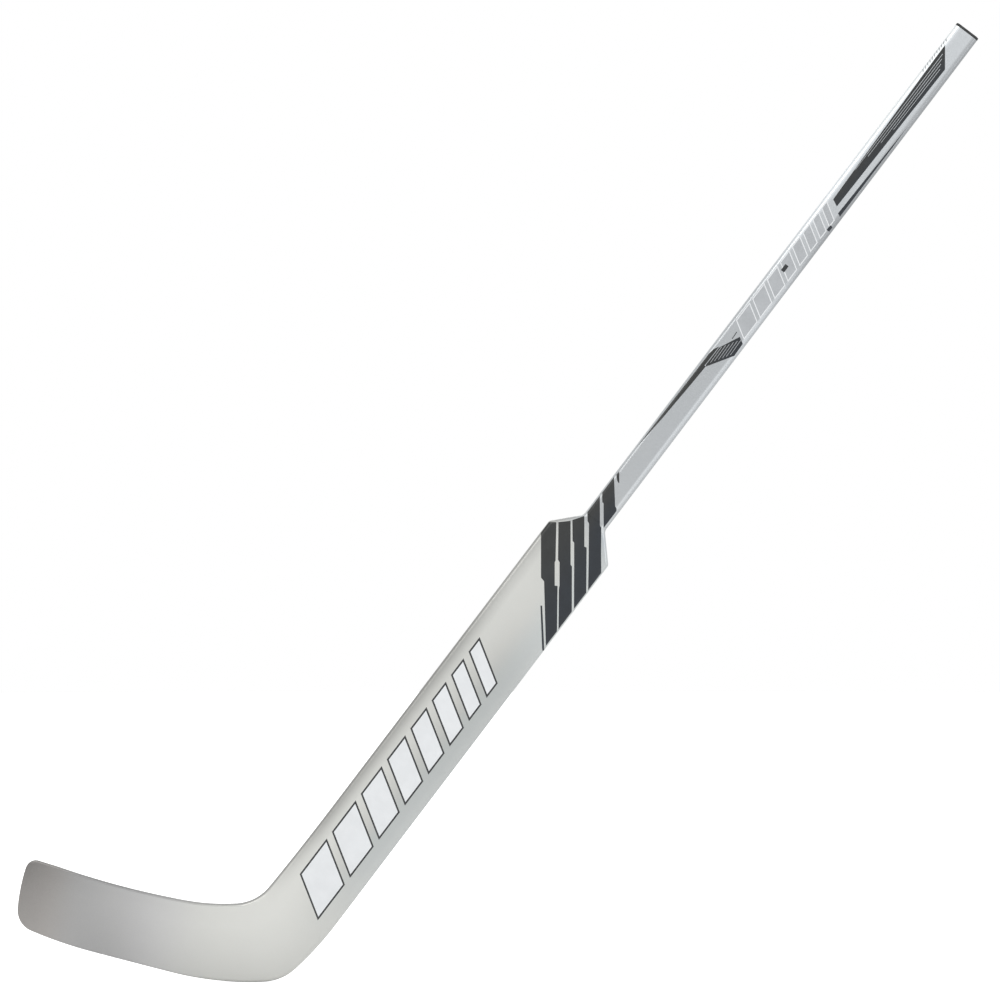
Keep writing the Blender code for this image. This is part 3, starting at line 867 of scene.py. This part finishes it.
def build_effects():
    """The effects that several finishes share."""
    tree, given, out = effect("uneven_coat", {"Vector": None, "Peel": 380.0}, ["Height"])
    swell = noise(tree, given["Vector"], 11.0, 2.0)
    peel = noise(tree, given["Vector"], given["Peel"], 1.5)
    tree.links.new(plus(tree, times(tree, swell, 0.8), times(tree, peel, 0.2)), out[0])

    tree, given, out = effect("flake", {"Vector": None, "Scale": 2400.0}, ["Mask"])
    cells = add(tree, "ShaderNodeTexVoronoi", {"Vector": given["Vector"], "Scale": given["Scale"]})
    tone = add(tree, "ShaderNodeSeparateColor", {"Color": cells.outputs["Color"]}).outputs[0]
    tree.links.new(tone, out[0])

    tree, given, out = effect("hairlines", {"Vector": None, "Scale": 60.0}, ["Mask"])
    inputs = {"Vector": given["Vector"], "Scale": (0.06, 1.0, 1.0)}
    long_way = add(tree, "ShaderNodeMapping", inputs).outputs["Vector"]
    lines = noise(tree, long_way, times(tree, given["Scale"], 12.0), 2.0)
    patches = noise(tree, given["Vector"], given["Scale"], 3.0)
    drawn = times(tree, span(tree, lines, 0.56, 0.72), span(tree, patches, 0.42, 0.66))
    tree.links.new(drawn, out[0])

    tree, given, out = effect("edge_wear", {"Rim": 0.0, "Vector": None, "Amount": 0.5}, ["Mask"])
    rim = given["Rim"]
    edge = times(tree, span(tree, rim, 0.35, 0.7), span(tree, rim, 1.02, 0.85))
    chips = span(tree, noise(tree, given["Vector"], 130.0, 5.0, 0.65), 0.5, 0.68)
    tree.links.new(times(tree, times(tree, edge, chips), given["Amount"]), out[0])

    tree, given, out = effect("grain", {"Vector": None, "Scale": 600.0}, ["Height", "Mask"])
    fine = noise(tree, given["Vector"], given["Scale"], 4.0, 0.6)
    coarse = noise(tree, given["Vector"], times(tree, given["Scale"], 0.07), 3.0)
    tree.links.new(fine, out[0])
    tree.links.new(coarse, out[1])

    tree, given, out = effect("twill", {"Vector": None, "Scale": 1.0}, ["Height", "Mask"])
    inputs = {0: given["Vector"], "Scale": given["Scale"]}
    scaled = add(tree, "ShaderNodeVectorMath", inputs, operation="SCALE").outputs[0]
    parts = add(tree, "ShaderNodeSeparateXYZ", {0: scaled}).outputs
    warp = maths(tree, "SINE", times(tree, parts["X"], 2 * pi))
    weft = maths(tree, "SINE", times(tree, parts["Z"], 2 * pi))
    lean = maths(tree, "SINE", times(tree, plus(tree, parts["X"], parts["Z"]), pi / 2))
    over = span(tree, lean, -0.15, 0.15)
    above = times(tree, over, maths(tree, "ABSOLUTE", warp))
    under = times(tree, maths(tree, "SUBTRACT", 1.0, over), maths(tree, "ABSOLUTE", weft))
    tree.links.new(plus(tree, above, under), out[0])
    tree.links.new(over, out[1])


def use(tree, name, **inputs):
    """Places a shared effect and returns its outputs."""
    return add(tree, "ShaderNodeGroup", inputs, node_tree=bpy.data.node_groups[name]).outputs


def start_material(name):
    """A new material's tree and shader, and coordinates whose X runs up the shaft."""
    made = bpy.data.materials.new(name)
    made.use_nodes = True
    tree = made.node_tree
    tree.nodes.clear()
    shader = tree.nodes.new("ShaderNodeBsdfPrincipled")
    output = tree.nodes.new("ShaderNodeOutputMaterial")
    tree.links.new(shader.outputs[0], output.inputs["Surface"])
    place = tree.nodes.new("ShaderNodeTexCoord").outputs["Object"]
    turned = add(tree, "ShaderNodeMapping", {"Vector": place, "Rotation": (0, AXIS, 0)}).outputs[0]
    return tree, shader, turned


def attribute(tree, name):
    """A value that the skin's vertices carry."""
    return add(tree, "ShaderNodeAttribute", attribute_name=name).outputs["Fac"]


def bump(tree, shader, height, strength, distance):
    """Fine relief on the shader's normal."""
    made = add(tree, "ShaderNodeBump", {"Height": height, "Strength": strength, "Distance": distance})
    tree.links.new(made.outputs[0], shader.inputs["Normal"])


def finish_with(tree, shader, **values):
    """Feeds the shader's own sockets with what changes over the surface and what is the same all over."""
    for key, value in values.items():
        feed(tree, shader.inputs[key.replace("_", " ")], value)


# The lacquer's tone down the stick: partly its own cool and warm silver, partly painted light and shade,
# brighter towards the butt and the heel and darker along the blade and at the toe: (distance below the neck,
# which tone, how strong)
TONE_AND_PAINTED_LIGHT_DOWN = (
    (-0.741, "silver", 1.28),
    (-0.50, "silver", 1.22),
    (-0.40, "silver", 1.05),
    (-0.30, "silver", 1.0),
    (0.00, "silver", 1.0),
    (0.03, "warm", 0.92),
    (0.12, "warm", 0.96),
    (0.30, "warm", 0.95),
    (0.50, "warm", 1.05),
    (0.60, "warm", 1.13),
    (0.66, "warm", 1.09),
    (0.72, "warm", 1.02),
    (0.77, "blade", 0.87),
    (0.81, "blade", 0.71),
    (0.85, "blade", 0.62),
    (0.875, "blade", 0.61),
    (0.90, "toe", 1.36),
    (0.92, "toe", 1.2),
    (0.945, "toe", 1.0),
)

# Painted light and shade across each stretch, from the upper edge to the lower one: painted highlights along
# the shaft's edges, painted shade on the upper edges of shoulder, paddle and heel and at the top of the toe,
# cooler towards the lower edge: (share across, tone)
PAINTED_SHADING_ACROSS = {
    "shaft_top": (
        (0.0, 1.6),
        (0.14, 1.55),
        (0.22, 1.1),
        (0.3, 1.02),
        (0.76, 1.02),
        (0.83, 0.74),
        (0.92, 0.58),
    ),
    "shaft": (
        (0.0, 1.4),
        (0.04, 1.12),
        (0.1, 0.97),
        (0.2, 1.0),
        (0.76, 1.0),
        (0.8, 1.15),
        (0.83, 1.45),
        (0.87, 1.3),
        (0.92, 1.1),
        (1.0, 0.95),
    ),
    "shoulder": (
        (0.0, 0.64),
        (0.08, 0.9),
        (0.2, 1.06),
        (0.5, 1.02),
        (0.8, (0.93, 0.965, 1.0)),
        (1.0, (0.93, 0.965, 1.0)),
    ),
    "paddle": (
        (0.0, 0.46),
        (0.06, 0.64),
        (0.14, 0.88),
        (0.21, 1.0),
        (0.3, 0.99),
        (0.5, 0.87),
        (0.62, (0.78, 0.79, 0.80)),
        (0.72, (0.735, 0.765, 0.785)),
        (0.85, (0.74, 0.77, 0.80)),
        (0.95, (0.79, 0.815, 0.84)),
    ),
    "heel": ((0.0, 0.42), (0.014, 0.55), (0.04, 0.98), (0.3, 0.98), (0.6, 0.92), (1.0, 0.82)),
    "toe": ((0.0, 0.70), (0.5, 0.95), (1.0, 1.12)),
}

# Where one stretch of painted light and shade gives way to the next, in distance below the neck
TURNS = (
    ("shaft", -0.48, -0.30),
    ("shoulder", 0.0, 0.01),
    ("paddle", 0.10, 0.24),
    ("heel", 0.46, 0.62),
    ("toe", 0.82, 0.94),
)
STRONGEST = 1.7  # a ramp holds no more than 1, so the painted shading across is stored as shares of this


def silver_lacquer(finish):
    """Satin metallic lacquer with its own tones, and painted light and shade down the stick and across it.
    """
    tree, shader, place = start_material("satin_silver")
    down = attribute(tree, "down")
    across = attribute(tree, "across")
    first, last = TONE_AND_PAINTED_LIGHT_DOWN[0][0], TONE_AND_PAINTED_LIGHT_DOWN[-1][0]
    inputs = {"Value": down, "From Min": first, "From Max": last}
    shares = add(tree, "ShaderNodeMapRange", inputs).outputs["Result"]
    # The lacquer's tones down the stick, with painted light and shade in them.
    stops = []
    for distance, tone, strength in TONE_AND_PAINTED_LIGHT_DOWN:
        share = (distance - first) / (last - first)
        stops.append((share, tuple(c * strength for c in getattr(finish, tone))))
    tone_and_painted_light = ramp(tree, shares, stops)
    # Painted highlights and painted shade across each stretch, from the upper edge to the lower one.
    painted_shading_ramps = {}
    for stretch, tones in PAINTED_SHADING_ACROSS.items():
        stops = [(stop, tuple(Vector(as_colour(tone)) / STRONGEST)) for stop, tone in tones]
        painted_shading_ramps[stretch] = ramp(tree, across, stops, "LINEAR")
    # Blends the painted light and shade across from stretch to stretch down the stick.
    slope = painted_shading_ramps["shaft_top"]
    for stretch, start, end in TURNS:
        slope = mix_colour(tree, span(tree, down, start, end), slope, painted_shading_ramps[stretch])
    slope = mix_colour(tree, 1.0, slope, as_colour(STRONGEST), "MULTIPLY")
    shaded = mix_colour(tree, 1.0, tone_and_painted_light, slope, "MULTIPLY")
    flake = use(tree, "flake", Vector=place)["Mask"]
    speck = mix_colour(tree, times(tree, flake, 0.05), shaded, (0.95, 0.95, 0.95))
    wear = use(tree, "edge_wear", Rim=attribute(tree, "rim"), Vector=place, Amount=0.05)["Mask"]
    worn = mix_colour(tree, wear, speck, (0.34, 0.34, 0.35))
    hairs = use(tree, "hairlines", Vector=place)["Mask"]
    rough = plus(tree, times(tree, hairs, 0.08), times(tree, flake, 0.05))
    rough = plus(tree, rough, 0.34)
    bump(tree, shader, use(tree, "uneven_coat", Vector=place)["Height"], 0.08, 0.0006)
    finish_with(tree, shader, Base_Color=worn, Roughness=rough, Metallic=0.62)
    finish_with(tree, shader, Coat_Weight=0.25, Coat_Roughness=0.18)


DULL_SILVER = (0.42, 0.42, 0.43)  # what shows where a print is rubbed
EVEN = (1.0, 1.0, 1.0)
UPPER_PAINTED_REFLECTION = (1.62, 1.46, 1.16)  # painted reflection: the dark ink is lighter and warm by the upper edge
LOWER_PAINTED_REFLECTION = (0.92, 1.08, 1.20)  # and a painted cool reflection by the lower one


def printed_ink(name, colour, roughness, darker, painted_reflections=(EVEN, EVEN)):
    """A flat printed ink with a faint grain, sheen changes, slight wear on the rim and, where given, a
    painted reflection from the upper edge to the lower one.
    """
    tree, shader, place = start_material(name)
    grain = use(tree, "grain", Vector=place, Scale=900.0)
    tone = span(tree, grain["Mask"], 0.3, 0.7)
    inked = mix_colour(tree, tone, [c * darker for c in colour], colour)
    # Painted reflection across the ink: lighter and warm by the upper edge, cool by the lower one.
    painted_reflection = mix_colour(tree, span(tree, attribute(tree, "across"), 0.15, 0.85), *painted_reflections)
    inked = mix_colour(tree, 1.0, inked, painted_reflection, "MULTIPLY")
    wear = use(tree, "edge_wear", Rim=attribute(tree, "rim"), Vector=place, Amount=0.15)["Mask"]
    worn = mix_colour(tree, wear, inked, DULL_SILVER)
    hairs = use(tree, "hairlines", Vector=place, Scale=70.0)["Mask"]
    rough = plus(tree, times(tree, hairs, 0.12), roughness)
    bump(tree, shader, grain["Height"], 0.06, 0.0002)
    finish_with(tree, shader, Base_Color=worn, Roughness=rough, Coat_Weight=0.15, Coat_Roughness=0.2)


def cap_plastic(finish):
    """Moulded black plastic with a fine spark grain."""
    tree, shader, place = start_material("moulded_cap")
    grain = use(tree, "grain", Vector=place, Scale=1500.0)
    tone = span(tree, grain["Mask"], 0.35, 0.65)
    body = mix_colour(tree, tone, finish.cap, [c * 1.9 + 0.004 for c in finish.cap])
    rough = span(tree, grain["Height"], 0.3, 0.7, 0.42, 0.6)
    bump(tree, shader, grain["Height"], 0.35, 0.0003)
    finish_with(tree, shader, Base_Color=body, Roughness=rough)


def core_foam(finish):
    """Closed-cell foam: pale cells with darker walls."""
    tree, shader, place = start_material("closed_cell_foam")
    cells = add(tree, "ShaderNodeTexVoronoi", {"Vector": place, "Scale": 1300.0})
    depth = span(tree, cells.outputs["Distance"], 0.15, 0.75)
    patches = use(tree, "grain", Vector=place, Scale=300.0)["Mask"]
    pale = mix_colour(tree, span(tree, patches, 0.3, 0.7), finish.foam, (0.74, 0.69, 0.56))
    shade = mix_colour(tree, depth, pale, [c * 0.62 for c in finish.foam])
    bump(tree, shader, depth, 0.5, 0.0005)
    finish_with(tree, shader, Base_Color=shade, Roughness=span(tree, depth, 0.0, 1.0, 0.78, 0.95))


def fibre_laminate(finish):
    """Bare laminate: a twill of dark fibre under resin."""
    tree, shader, place = start_material("bare_twill")
    weave = use(tree, "twill", Vector=place, Scale=420.0)
    resin = use(tree, "grain", Vector=place, Scale=700.0)
    bright = [c * 2.6 + 0.012 for c in finish.laminate]
    cloth = mix_colour(tree, weave["Mask"], finish.laminate, bright)
    body = mix_colour(tree, resin["Mask"], cloth, finish.laminate)
    rough = span(tree, weave["Height"], 0.0, 1.0, 0.48, 0.30)
    bump(tree, shader, weave["Height"], 0.4, 0.0002)
    finish_with(tree, shader, Base_Color=body, Roughness=rough, Coat_Weight=0.3, Coat_Roughness=0.25)


def filled_resin(name, colour, speck_colour, scale, rough):
    """Cast resin with specks of filler through it."""
    tree, shader, place = start_material(name)
    grain = use(tree, "grain", Vector=place, Scale=scale)
    cells = add(tree, "ShaderNodeTexVoronoi", {"Vector": place, "Scale": scale * 0.8})
    specks = span(tree, cells.outputs["Distance"], 0.28, 0.12)
    body = mix_colour(tree, grain["Mask"], [c * 0.7 for c in colour], [min(c * 1.25, 1) for c in colour])
    speckled = mix_colour(tree, specks, body, speck_colour)
    bump(tree, shader, grain["Height"], 0.3, 0.0004)
    rough = span(tree, grain["Height"], 0.3, 0.7, rough - 0.08, rough + 0.08)
    finish_with(tree, shader, Base_Color=speckled, Roughness=rough)


def finish_named(name):
    """A finish that an earlier step made."""
    found = bpy.data.materials.get(name)
    if found is None:
        raise RuntimeError("make the finishes first: there is no material named " + name)
    return found


def skin_finishes():
    """The finishes of a painted skin, in the order of its slots."""
    names = ("satin_silver", "charcoal_print", "white_print", "outline_print", "grey_print")
    return [finish_named(name) for name in names]


# ----------------------------------------
# Operators


class STICK_OT_finishes(bpy.types.Operator):
    """Makes the lacquer, the printed inks and the finishes of the inner pieces"""

    bl_idname = "stick.finishes"
    bl_label = "Finishes"

    def execute(self, context):
        finish = context.scene.stick_finish
        build_effects()
        silver_lacquer(finish)
        printed_ink("charcoal_print", finish.charcoal, 0.40, 0.82, (UPPER_PAINTED_REFLECTION, LOWER_PAINTED_REFLECTION))
        printed_ink("white_print", finish.white, 0.42, 0.96)
        printed_ink("outline_print", finish.outline, 0.42, 0.85)
        printed_ink("grey_print", finish.grey, 0.42, 0.92)
        cap_plastic(finish)
        core_foam(finish)
        fibre_laminate(finish)
        filled_resin("speckled_filler", finish.filler, (0.66, 0.55, 0.38), 500.0, 0.74)
        filled_resin("moulded_insert", finish.insert, (0.19, 0.19, 0.20), 900.0, 0.55)
        return {"FINISHED"}


class STICK_OT_shaft(bpy.types.Operator):
    """Builds the hollow shaft with its tenon and prints its marks on both wide faces"""

    bl_idname = "stick.shaft"
    bl_label = "Shaft"

    def execute(self, context):
        shaft = context.scene.stick_shaft
        outline = Outline(context.scene)
        top = shaft.length - shaft.cap_flange - GLUE_GAP
        step = outline.shoulder[0].x + GLUE_GAP
        rows = [top + (step - top) * index / SHAFT_ROWS for index in range(SHAFT_ROWS + 1)]
        outer = [shaft_points(shaft, 0, along, shaft.crown) for along in rows]
        bore = TENON_INSET + TENON_WALL
        inner = [
            shaft_points(shaft, TENON_INSET, step),
            shaft_points(shaft, TENON_INSET, -TENON_LENGTH),
            shaft_points(shaft, bore, -TENON_LENGTH),
            shaft_points(shaft, bore, step + shaft.wall),
            shaft_points(shaft, shaft.wall, step + shaft.wall + BORE_TAPER),
            shaft_points(shaft, shaft.wall, top),
        ]
        bm = bmesh.new()
        layers = layers_of(bm)
        rings = loft(bm, [[p for p, _, _ in ring] for ring in outer + inner], tube=True)
        downs = [-along for along in rows]
        lay_skin(rings[: len(rows)], outer, len(outer[0]), downs, layers, closed=True)
        face_skin_out(bm, layers)
        for side in (FRONT, BACK):
            print_neck(bm, side)
            print_shaft(bm, side, context.scene.stick_marks)
        made = finished("shaft", bm, skin_finishes())
        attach(made, "root")
        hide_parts("shaft_tube")
        return {"FINISHED"}


class STICK_OT_end_cap(bpy.types.Operator):
    """Builds the moulded cap with its hollow spigot, rounded edge and shallow dish"""

    bl_idname = "stick.end_cap"
    bl_label = "End cap"

    def execute(self, context):
        shaft = context.scene.stick_shaft
        under = shaft.length - shaft.cap_flange
        spigot = shaft.wall + GLUE_GAP
        turn = [pi / 2 * step / ROUND_STEPS for step in range(ROUND_STEPS + 1)]
        rings = [
            shaft_points(shaft, DISH_EDGE + DISH_SLOPE, shaft.length - shaft.cap_dish),
            shaft_points(shaft, DISH_EDGE, shaft.length),
        ]
        for angle in turn:
            inset = shaft.cap_round * (1 - sin(angle))
            rings.append(shaft_points(shaft, inset, shaft.length - shaft.cap_round * (1 - cos(angle))))
        rings += [
            shaft_points(shaft, 0, under),
            shaft_points(shaft, spigot, under),
            shaft_points(shaft, spigot, under - CAP_SPIGOT),
            shaft_points(shaft, spigot + CAP_WALL, under - CAP_SPIGOT),
            shaft_points(shaft, spigot + CAP_WALL, under - CAP_WALL),
        ]
        bm = bmesh.new()
        loft(bm, [[p for p, _, _ in ring] for ring in rings])
        made = finished("end_cap_moulding", bm, [finish_named("moulded_cap")], skin=False)
        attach(made, "root")
        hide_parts("end_cap")
        return {"FINISHED"}


def down_line(stations):
    """How far below the neck each station lies, along the middle of the strip."""
    middles = [(station.upper + station.lower) / 2 for station in stations]
    downs = [-middles[0].dot(ALONG)]
    for before, after in zip(middles, middles[1:]):
        downs.append(downs[-1] + (after - before).length)
    return downs


def skin_shell(name, stations, downs, side, sizes, solid_from, marks):
    """One moulded skin: a half section along its stations, hollow inside, with printed marks."""
    data = []
    for index, station in enumerate(stations):
        points, count = skin_points(station, side, sizes.crown, sizes.wall, index >= solid_from)
        data.append(points)
    bm = bmesh.new()
    layers = layers_of(bm)
    rings = loft(bm, [[p for p, _, _ in ring] for ring in data])
    lay_skin(rings, data, count, downs, layers)
    face_skin_out(bm, layers)
    if marks is not None:
        print_neck(bm, side)
        print_paddle_bars(bm, side, marks)
    made = finished(name, bm, skin_finishes())
    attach(made, "root")
    return made


def skin_pair(part, stations, downs, sizes, solid_from, marks=None):
    """The front and back skins of the paddle or the blade."""
    for face, side in (("front", FRONT), ("back", BACK)):
        name = "%s_%s_skin" % (part, face)
        made = skin_shell(name, stations, downs, side, sizes, solid_from, marks)
        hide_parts("%s_%s_shell" % (part, face))


class STICK_OT_paddle(bpy.types.Operator):
    """Builds the paddle's front and back skins, down to the middle of the heel"""

    bl_idname = "stick.paddle"
    bl_label = "Paddle"

    def execute(self, context):
        scene = context.scene
        outline = Outline(scene)
        stations = outline.paddle + outline.heel[: HEEL_JOINT + 1]
        downs = down_line(stations)
        skin_pair("paddle", stations, downs, scene.stick_paddle, len(stations), scene.stick_marks)
        return {"FINISHED"}


class STICK_OT_blade(bpy.types.Operator):
    """Builds the blade's front and back skins, from the middle of the heel to the toe"""

    bl_idname = "stick.blade"
    bl_label = "Blade"

    def execute(self, context):
        outline = Outline(context.scene)
        paddle_downs = down_line(outline.paddle + outline.heel[: HEEL_JOINT + 1])
        stations = outline.heel[HEEL_JOINT:] + outline.blade[1:]
        downs = down_line(stations)
        shift = paddle_downs[-1] - downs[0]
        downs = [down + shift for down in downs]
        solid_from = HEEL_STATIONS - HEEL_JOINT + BLADE_STATIONS + POCKET_END
        skin_pair("blade", stations, downs, context.scene.stick_blade, solid_from)
        return {"FINISHED"}


INNER_FINISHES = {
    "closed_cell_foam": (
        "tenon_plug",
        "paddle_upper_core",
        "paddle_centre_core",
        "paddle_lower_core",
        "blade_upper_core",
        "blade_lower_core",
    ),
    "bare_twill": (
        "paddle_upper_rib",
        "paddle_lower_rib",
        "paddle_upper_edge_strip",
        "paddle_lower_edge_strip",
        "blade_bridge",
        "blade_top_strip",
        "blade_sole_strip",
    ),
    "speckled_filler": ("shoulder_upper_block", "shoulder_lower_block"),
    "moulded_insert": ("heel_block", "toe_insert"),
}


class STICK_OT_insides(bpy.types.Operator):
    """Gives the cores, ribs, strips, blocks and inserts of the frame their finishes"""

    bl_idname = "stick.insides"
    bl_label = "Insides"

    def execute(self, context):
        for finish, nodes in INNER_FINISHES.items():
            for name in nodes:
                frame["nodes"][name].material_slots[0].material = finish_named(finish)
        return {"FINISHED"}


# ----------------------------------------
# Studio

SENSOR = 36.0
VIEW_CENTRE = (-0.113, 0.0293)
FLOOR_REACH = 9.0
FLOOR_SIDES = 96
FLOOR_DROP = 0.0005  # how far the floor is under the stick
FLOOR_GLOW = 0.75  # keeps the floor as white as the room to the eye, not to the stick
ROOM_SIDE = 0.22  # how much brighter the room is towards +X
ROOM_RISE = 0.12  # and upwards

# Soft boxes: name, place, aim, size, which power, colour
SOFT_BOXES = (
    ("key_box", (-2.2, -3.4, 2.6), (-0.1, 0, 0), (2.6, 1.8), "key", (1.0, 0.985, 0.96)),
    ("fill_box", (3.0, -2.4, 0.6), (0, 0, 0), (1.6, 2.2), "fill", (0.94, 0.97, 1.0)),
    ("back_box", (0.6, 3.6, 2.0), (0, 0, 0), (2.6, 1.6), "fill", (1.0, 1.0, 1.0)),
)


def soft_box(name, place, aim, size, power, colour):
    """A rectangular lamp turned to its aim."""
    light = bpy.data.lights.new(name, "AREA")
    light.shape = "RECTANGLE"
    light.size, light.size_y = size
    light.energy = power
    light.color = colour
    made = bpy.data.objects.new(name, light)
    made.location = place
    made.rotation_euler = (Vector(aim) - Vector(place)).to_track_quat("-Z", "Y").to_euler()
    bpy.context.scene.collection.objects.link(made)


class STICK_OT_studio(bpy.types.Operator):
    """Sets up the pale floor, the soft lights and the camera"""

    bl_idname = "stick.studio"
    bl_label = "Studio"

    def execute(self, context):
        studio = context.scene.stick_studio
        self.lay_floor(studio)
        self.light_room(context.scene, studio)
        for name, place, aim, size, power, colour in SOFT_BOXES:
            soft_box(name, place, aim, size, getattr(studio, power), colour)
        self.set_camera(context.scene, studio)
        context.scene.view_settings.view_transform = "Standard"
        return {"FINISHED"}

    def lay_floor(self, studio):
        """A pale round floor just under the stick."""
        bm = bmesh.new()
        bmesh.ops.create_circle(bm, cap_ends=True, radius=FLOOR_REACH, segments=FLOOR_SIDES)
        low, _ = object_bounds()
        bmesh.ops.translate(bm, verts=bm.verts, vec=(0, 0, low.z - FLOOR_DROP))
        mesh = bpy.data.meshes.new("floor")
        bm.to_mesh(mesh)
        bm.free()
        tree, shader, place = start_material("pale_floor")
        clouds = noise(tree, place, 1.3, 2.0)
        tone = mix_colour(tree, clouds, [c * 0.985 for c in studio.floor], studio.floor)
        seen = tree.nodes.new("ShaderNodeLightPath").outputs["Is Camera Ray"]
        finish_with(tree, shader, Base_Color=tone, Roughness=0.9)
        finish_with(tree, shader, Emission_Color=seen, Emission_Strength=FLOOR_GLOW)
        mesh.materials.append(finish_named("pale_floor"))
        floor = bpy.data.objects.new("floor", mesh)
        bpy.context.scene.collection.objects.link(floor)
        floor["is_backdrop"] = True

    def light_room(self, scene, studio):
        """A white room: plain white to the eye, softly graded where it lights the stick."""
        world = bpy.data.worlds.new("studio_room")
        scene.world = world
        world.use_nodes = True
        tree = world.node_tree
        tree.nodes.clear()
        direction = tree.nodes.new("ShaderNodeTexCoord").outputs["Generated"]
        parts = add(tree, "ShaderNodeSeparateXYZ", {0: direction}).outputs
        sideways = times(tree, parts["X"], ROOM_SIDE)
        upwards = times(tree, parts["Z"], ROOM_RISE)
        level = plus(tree, plus(tree, sideways, upwards), studio.room)
        shades = []
        for strength in (level, 1.0):
            inputs = {"Color": (1, 1, 1, 1), "Strength": strength}
            shades.append(add(tree, "ShaderNodeBackground", inputs).outputs[0])
        seen = tree.nodes.new("ShaderNodeLightPath").outputs["Is Camera Ray"]
        mixed = add(tree, "ShaderNodeMixShader", {0: seen, 1: shades[0], 2: shades[1]})
        add(tree, "ShaderNodeOutputWorld", {"Surface": mixed.outputs[0]})

    def set_camera(self, scene, studio):
        """The camera, square to the stick's plane."""
        data = bpy.data.cameras.new("camera")
        data.sensor_width = SENSOR
        data.lens = SENSOR * studio.distance / studio.view_width
        data.clip_end = 100
        camera = bpy.data.objects.new("camera", data)
        camera.location = (VIEW_CENTRE[0], -studio.distance, VIEW_CENTRE[1])
        camera.rotation_euler = (pi / 2, 0, 0)
        scene.collection.objects.link(camera)
        scene.camera = camera


class STICK_PT_panel(bpy.types.Panel):
    """Sizes, colours and steps of the stick"""

    bl_idname = "STICK_PT_panel"
    bl_label = "Goalkeeper's stick"
    bl_space_type = "VIEW_3D"
    bl_region_type = "UI"
    bl_category = "Stick"

    def draw(self, context):
        for step in STEPS:
            self.layout.operator(step.bl_idname)
        for pointer in GROUPS:
            group = getattr(context.scene, pointer)
            box = self.layout.box()
            for item in group.bl_rna.properties:
                if item.identifier not in ("rna_type", "name"):
                    box.prop(group, item.identifier)


GROUPS = {
    "stick_shaft": StickShaft,
    "stick_paddle": StickPaddle,
    "stick_blade": StickBlade,
    "stick_marks": StickMarks,
    "stick_finish": StickFinish,
    "stick_studio": StickStudio,
}
STEPS = (
    STICK_OT_finishes,
    STICK_OT_shaft,
    STICK_OT_end_cap,
    STICK_OT_paddle,
    STICK_OT_blade,
    STICK_OT_insides,
    STICK_OT_studio,
)


def register():
    for made in (*GROUPS.values(), *STEPS, STICK_PT_panel):
        bpy.utils.register_class(made)
    for pointer, group in GROUPS.items():
        setattr(bpy.types.Scene, pointer, PointerProperty(type=group))


def unregister():
    for pointer in GROUPS:
        delattr(bpy.types.Scene, pointer)
    for made in reversed((*GROUPS.values(), *STEPS, STICK_PT_panel)):
        bpy.utils.unregister_class(made)


def main():
    register()
    bpy.ops.stick.finishes()
    bpy.ops.stick.shaft()
    bpy.ops.stick.end_cap()
    bpy.ops.stick.paddle()
    bpy.ops.stick.blade()
    bpy.ops.stick.insides()
    bpy.ops.stick.studio()


if __name__ == "__main__":
    main()
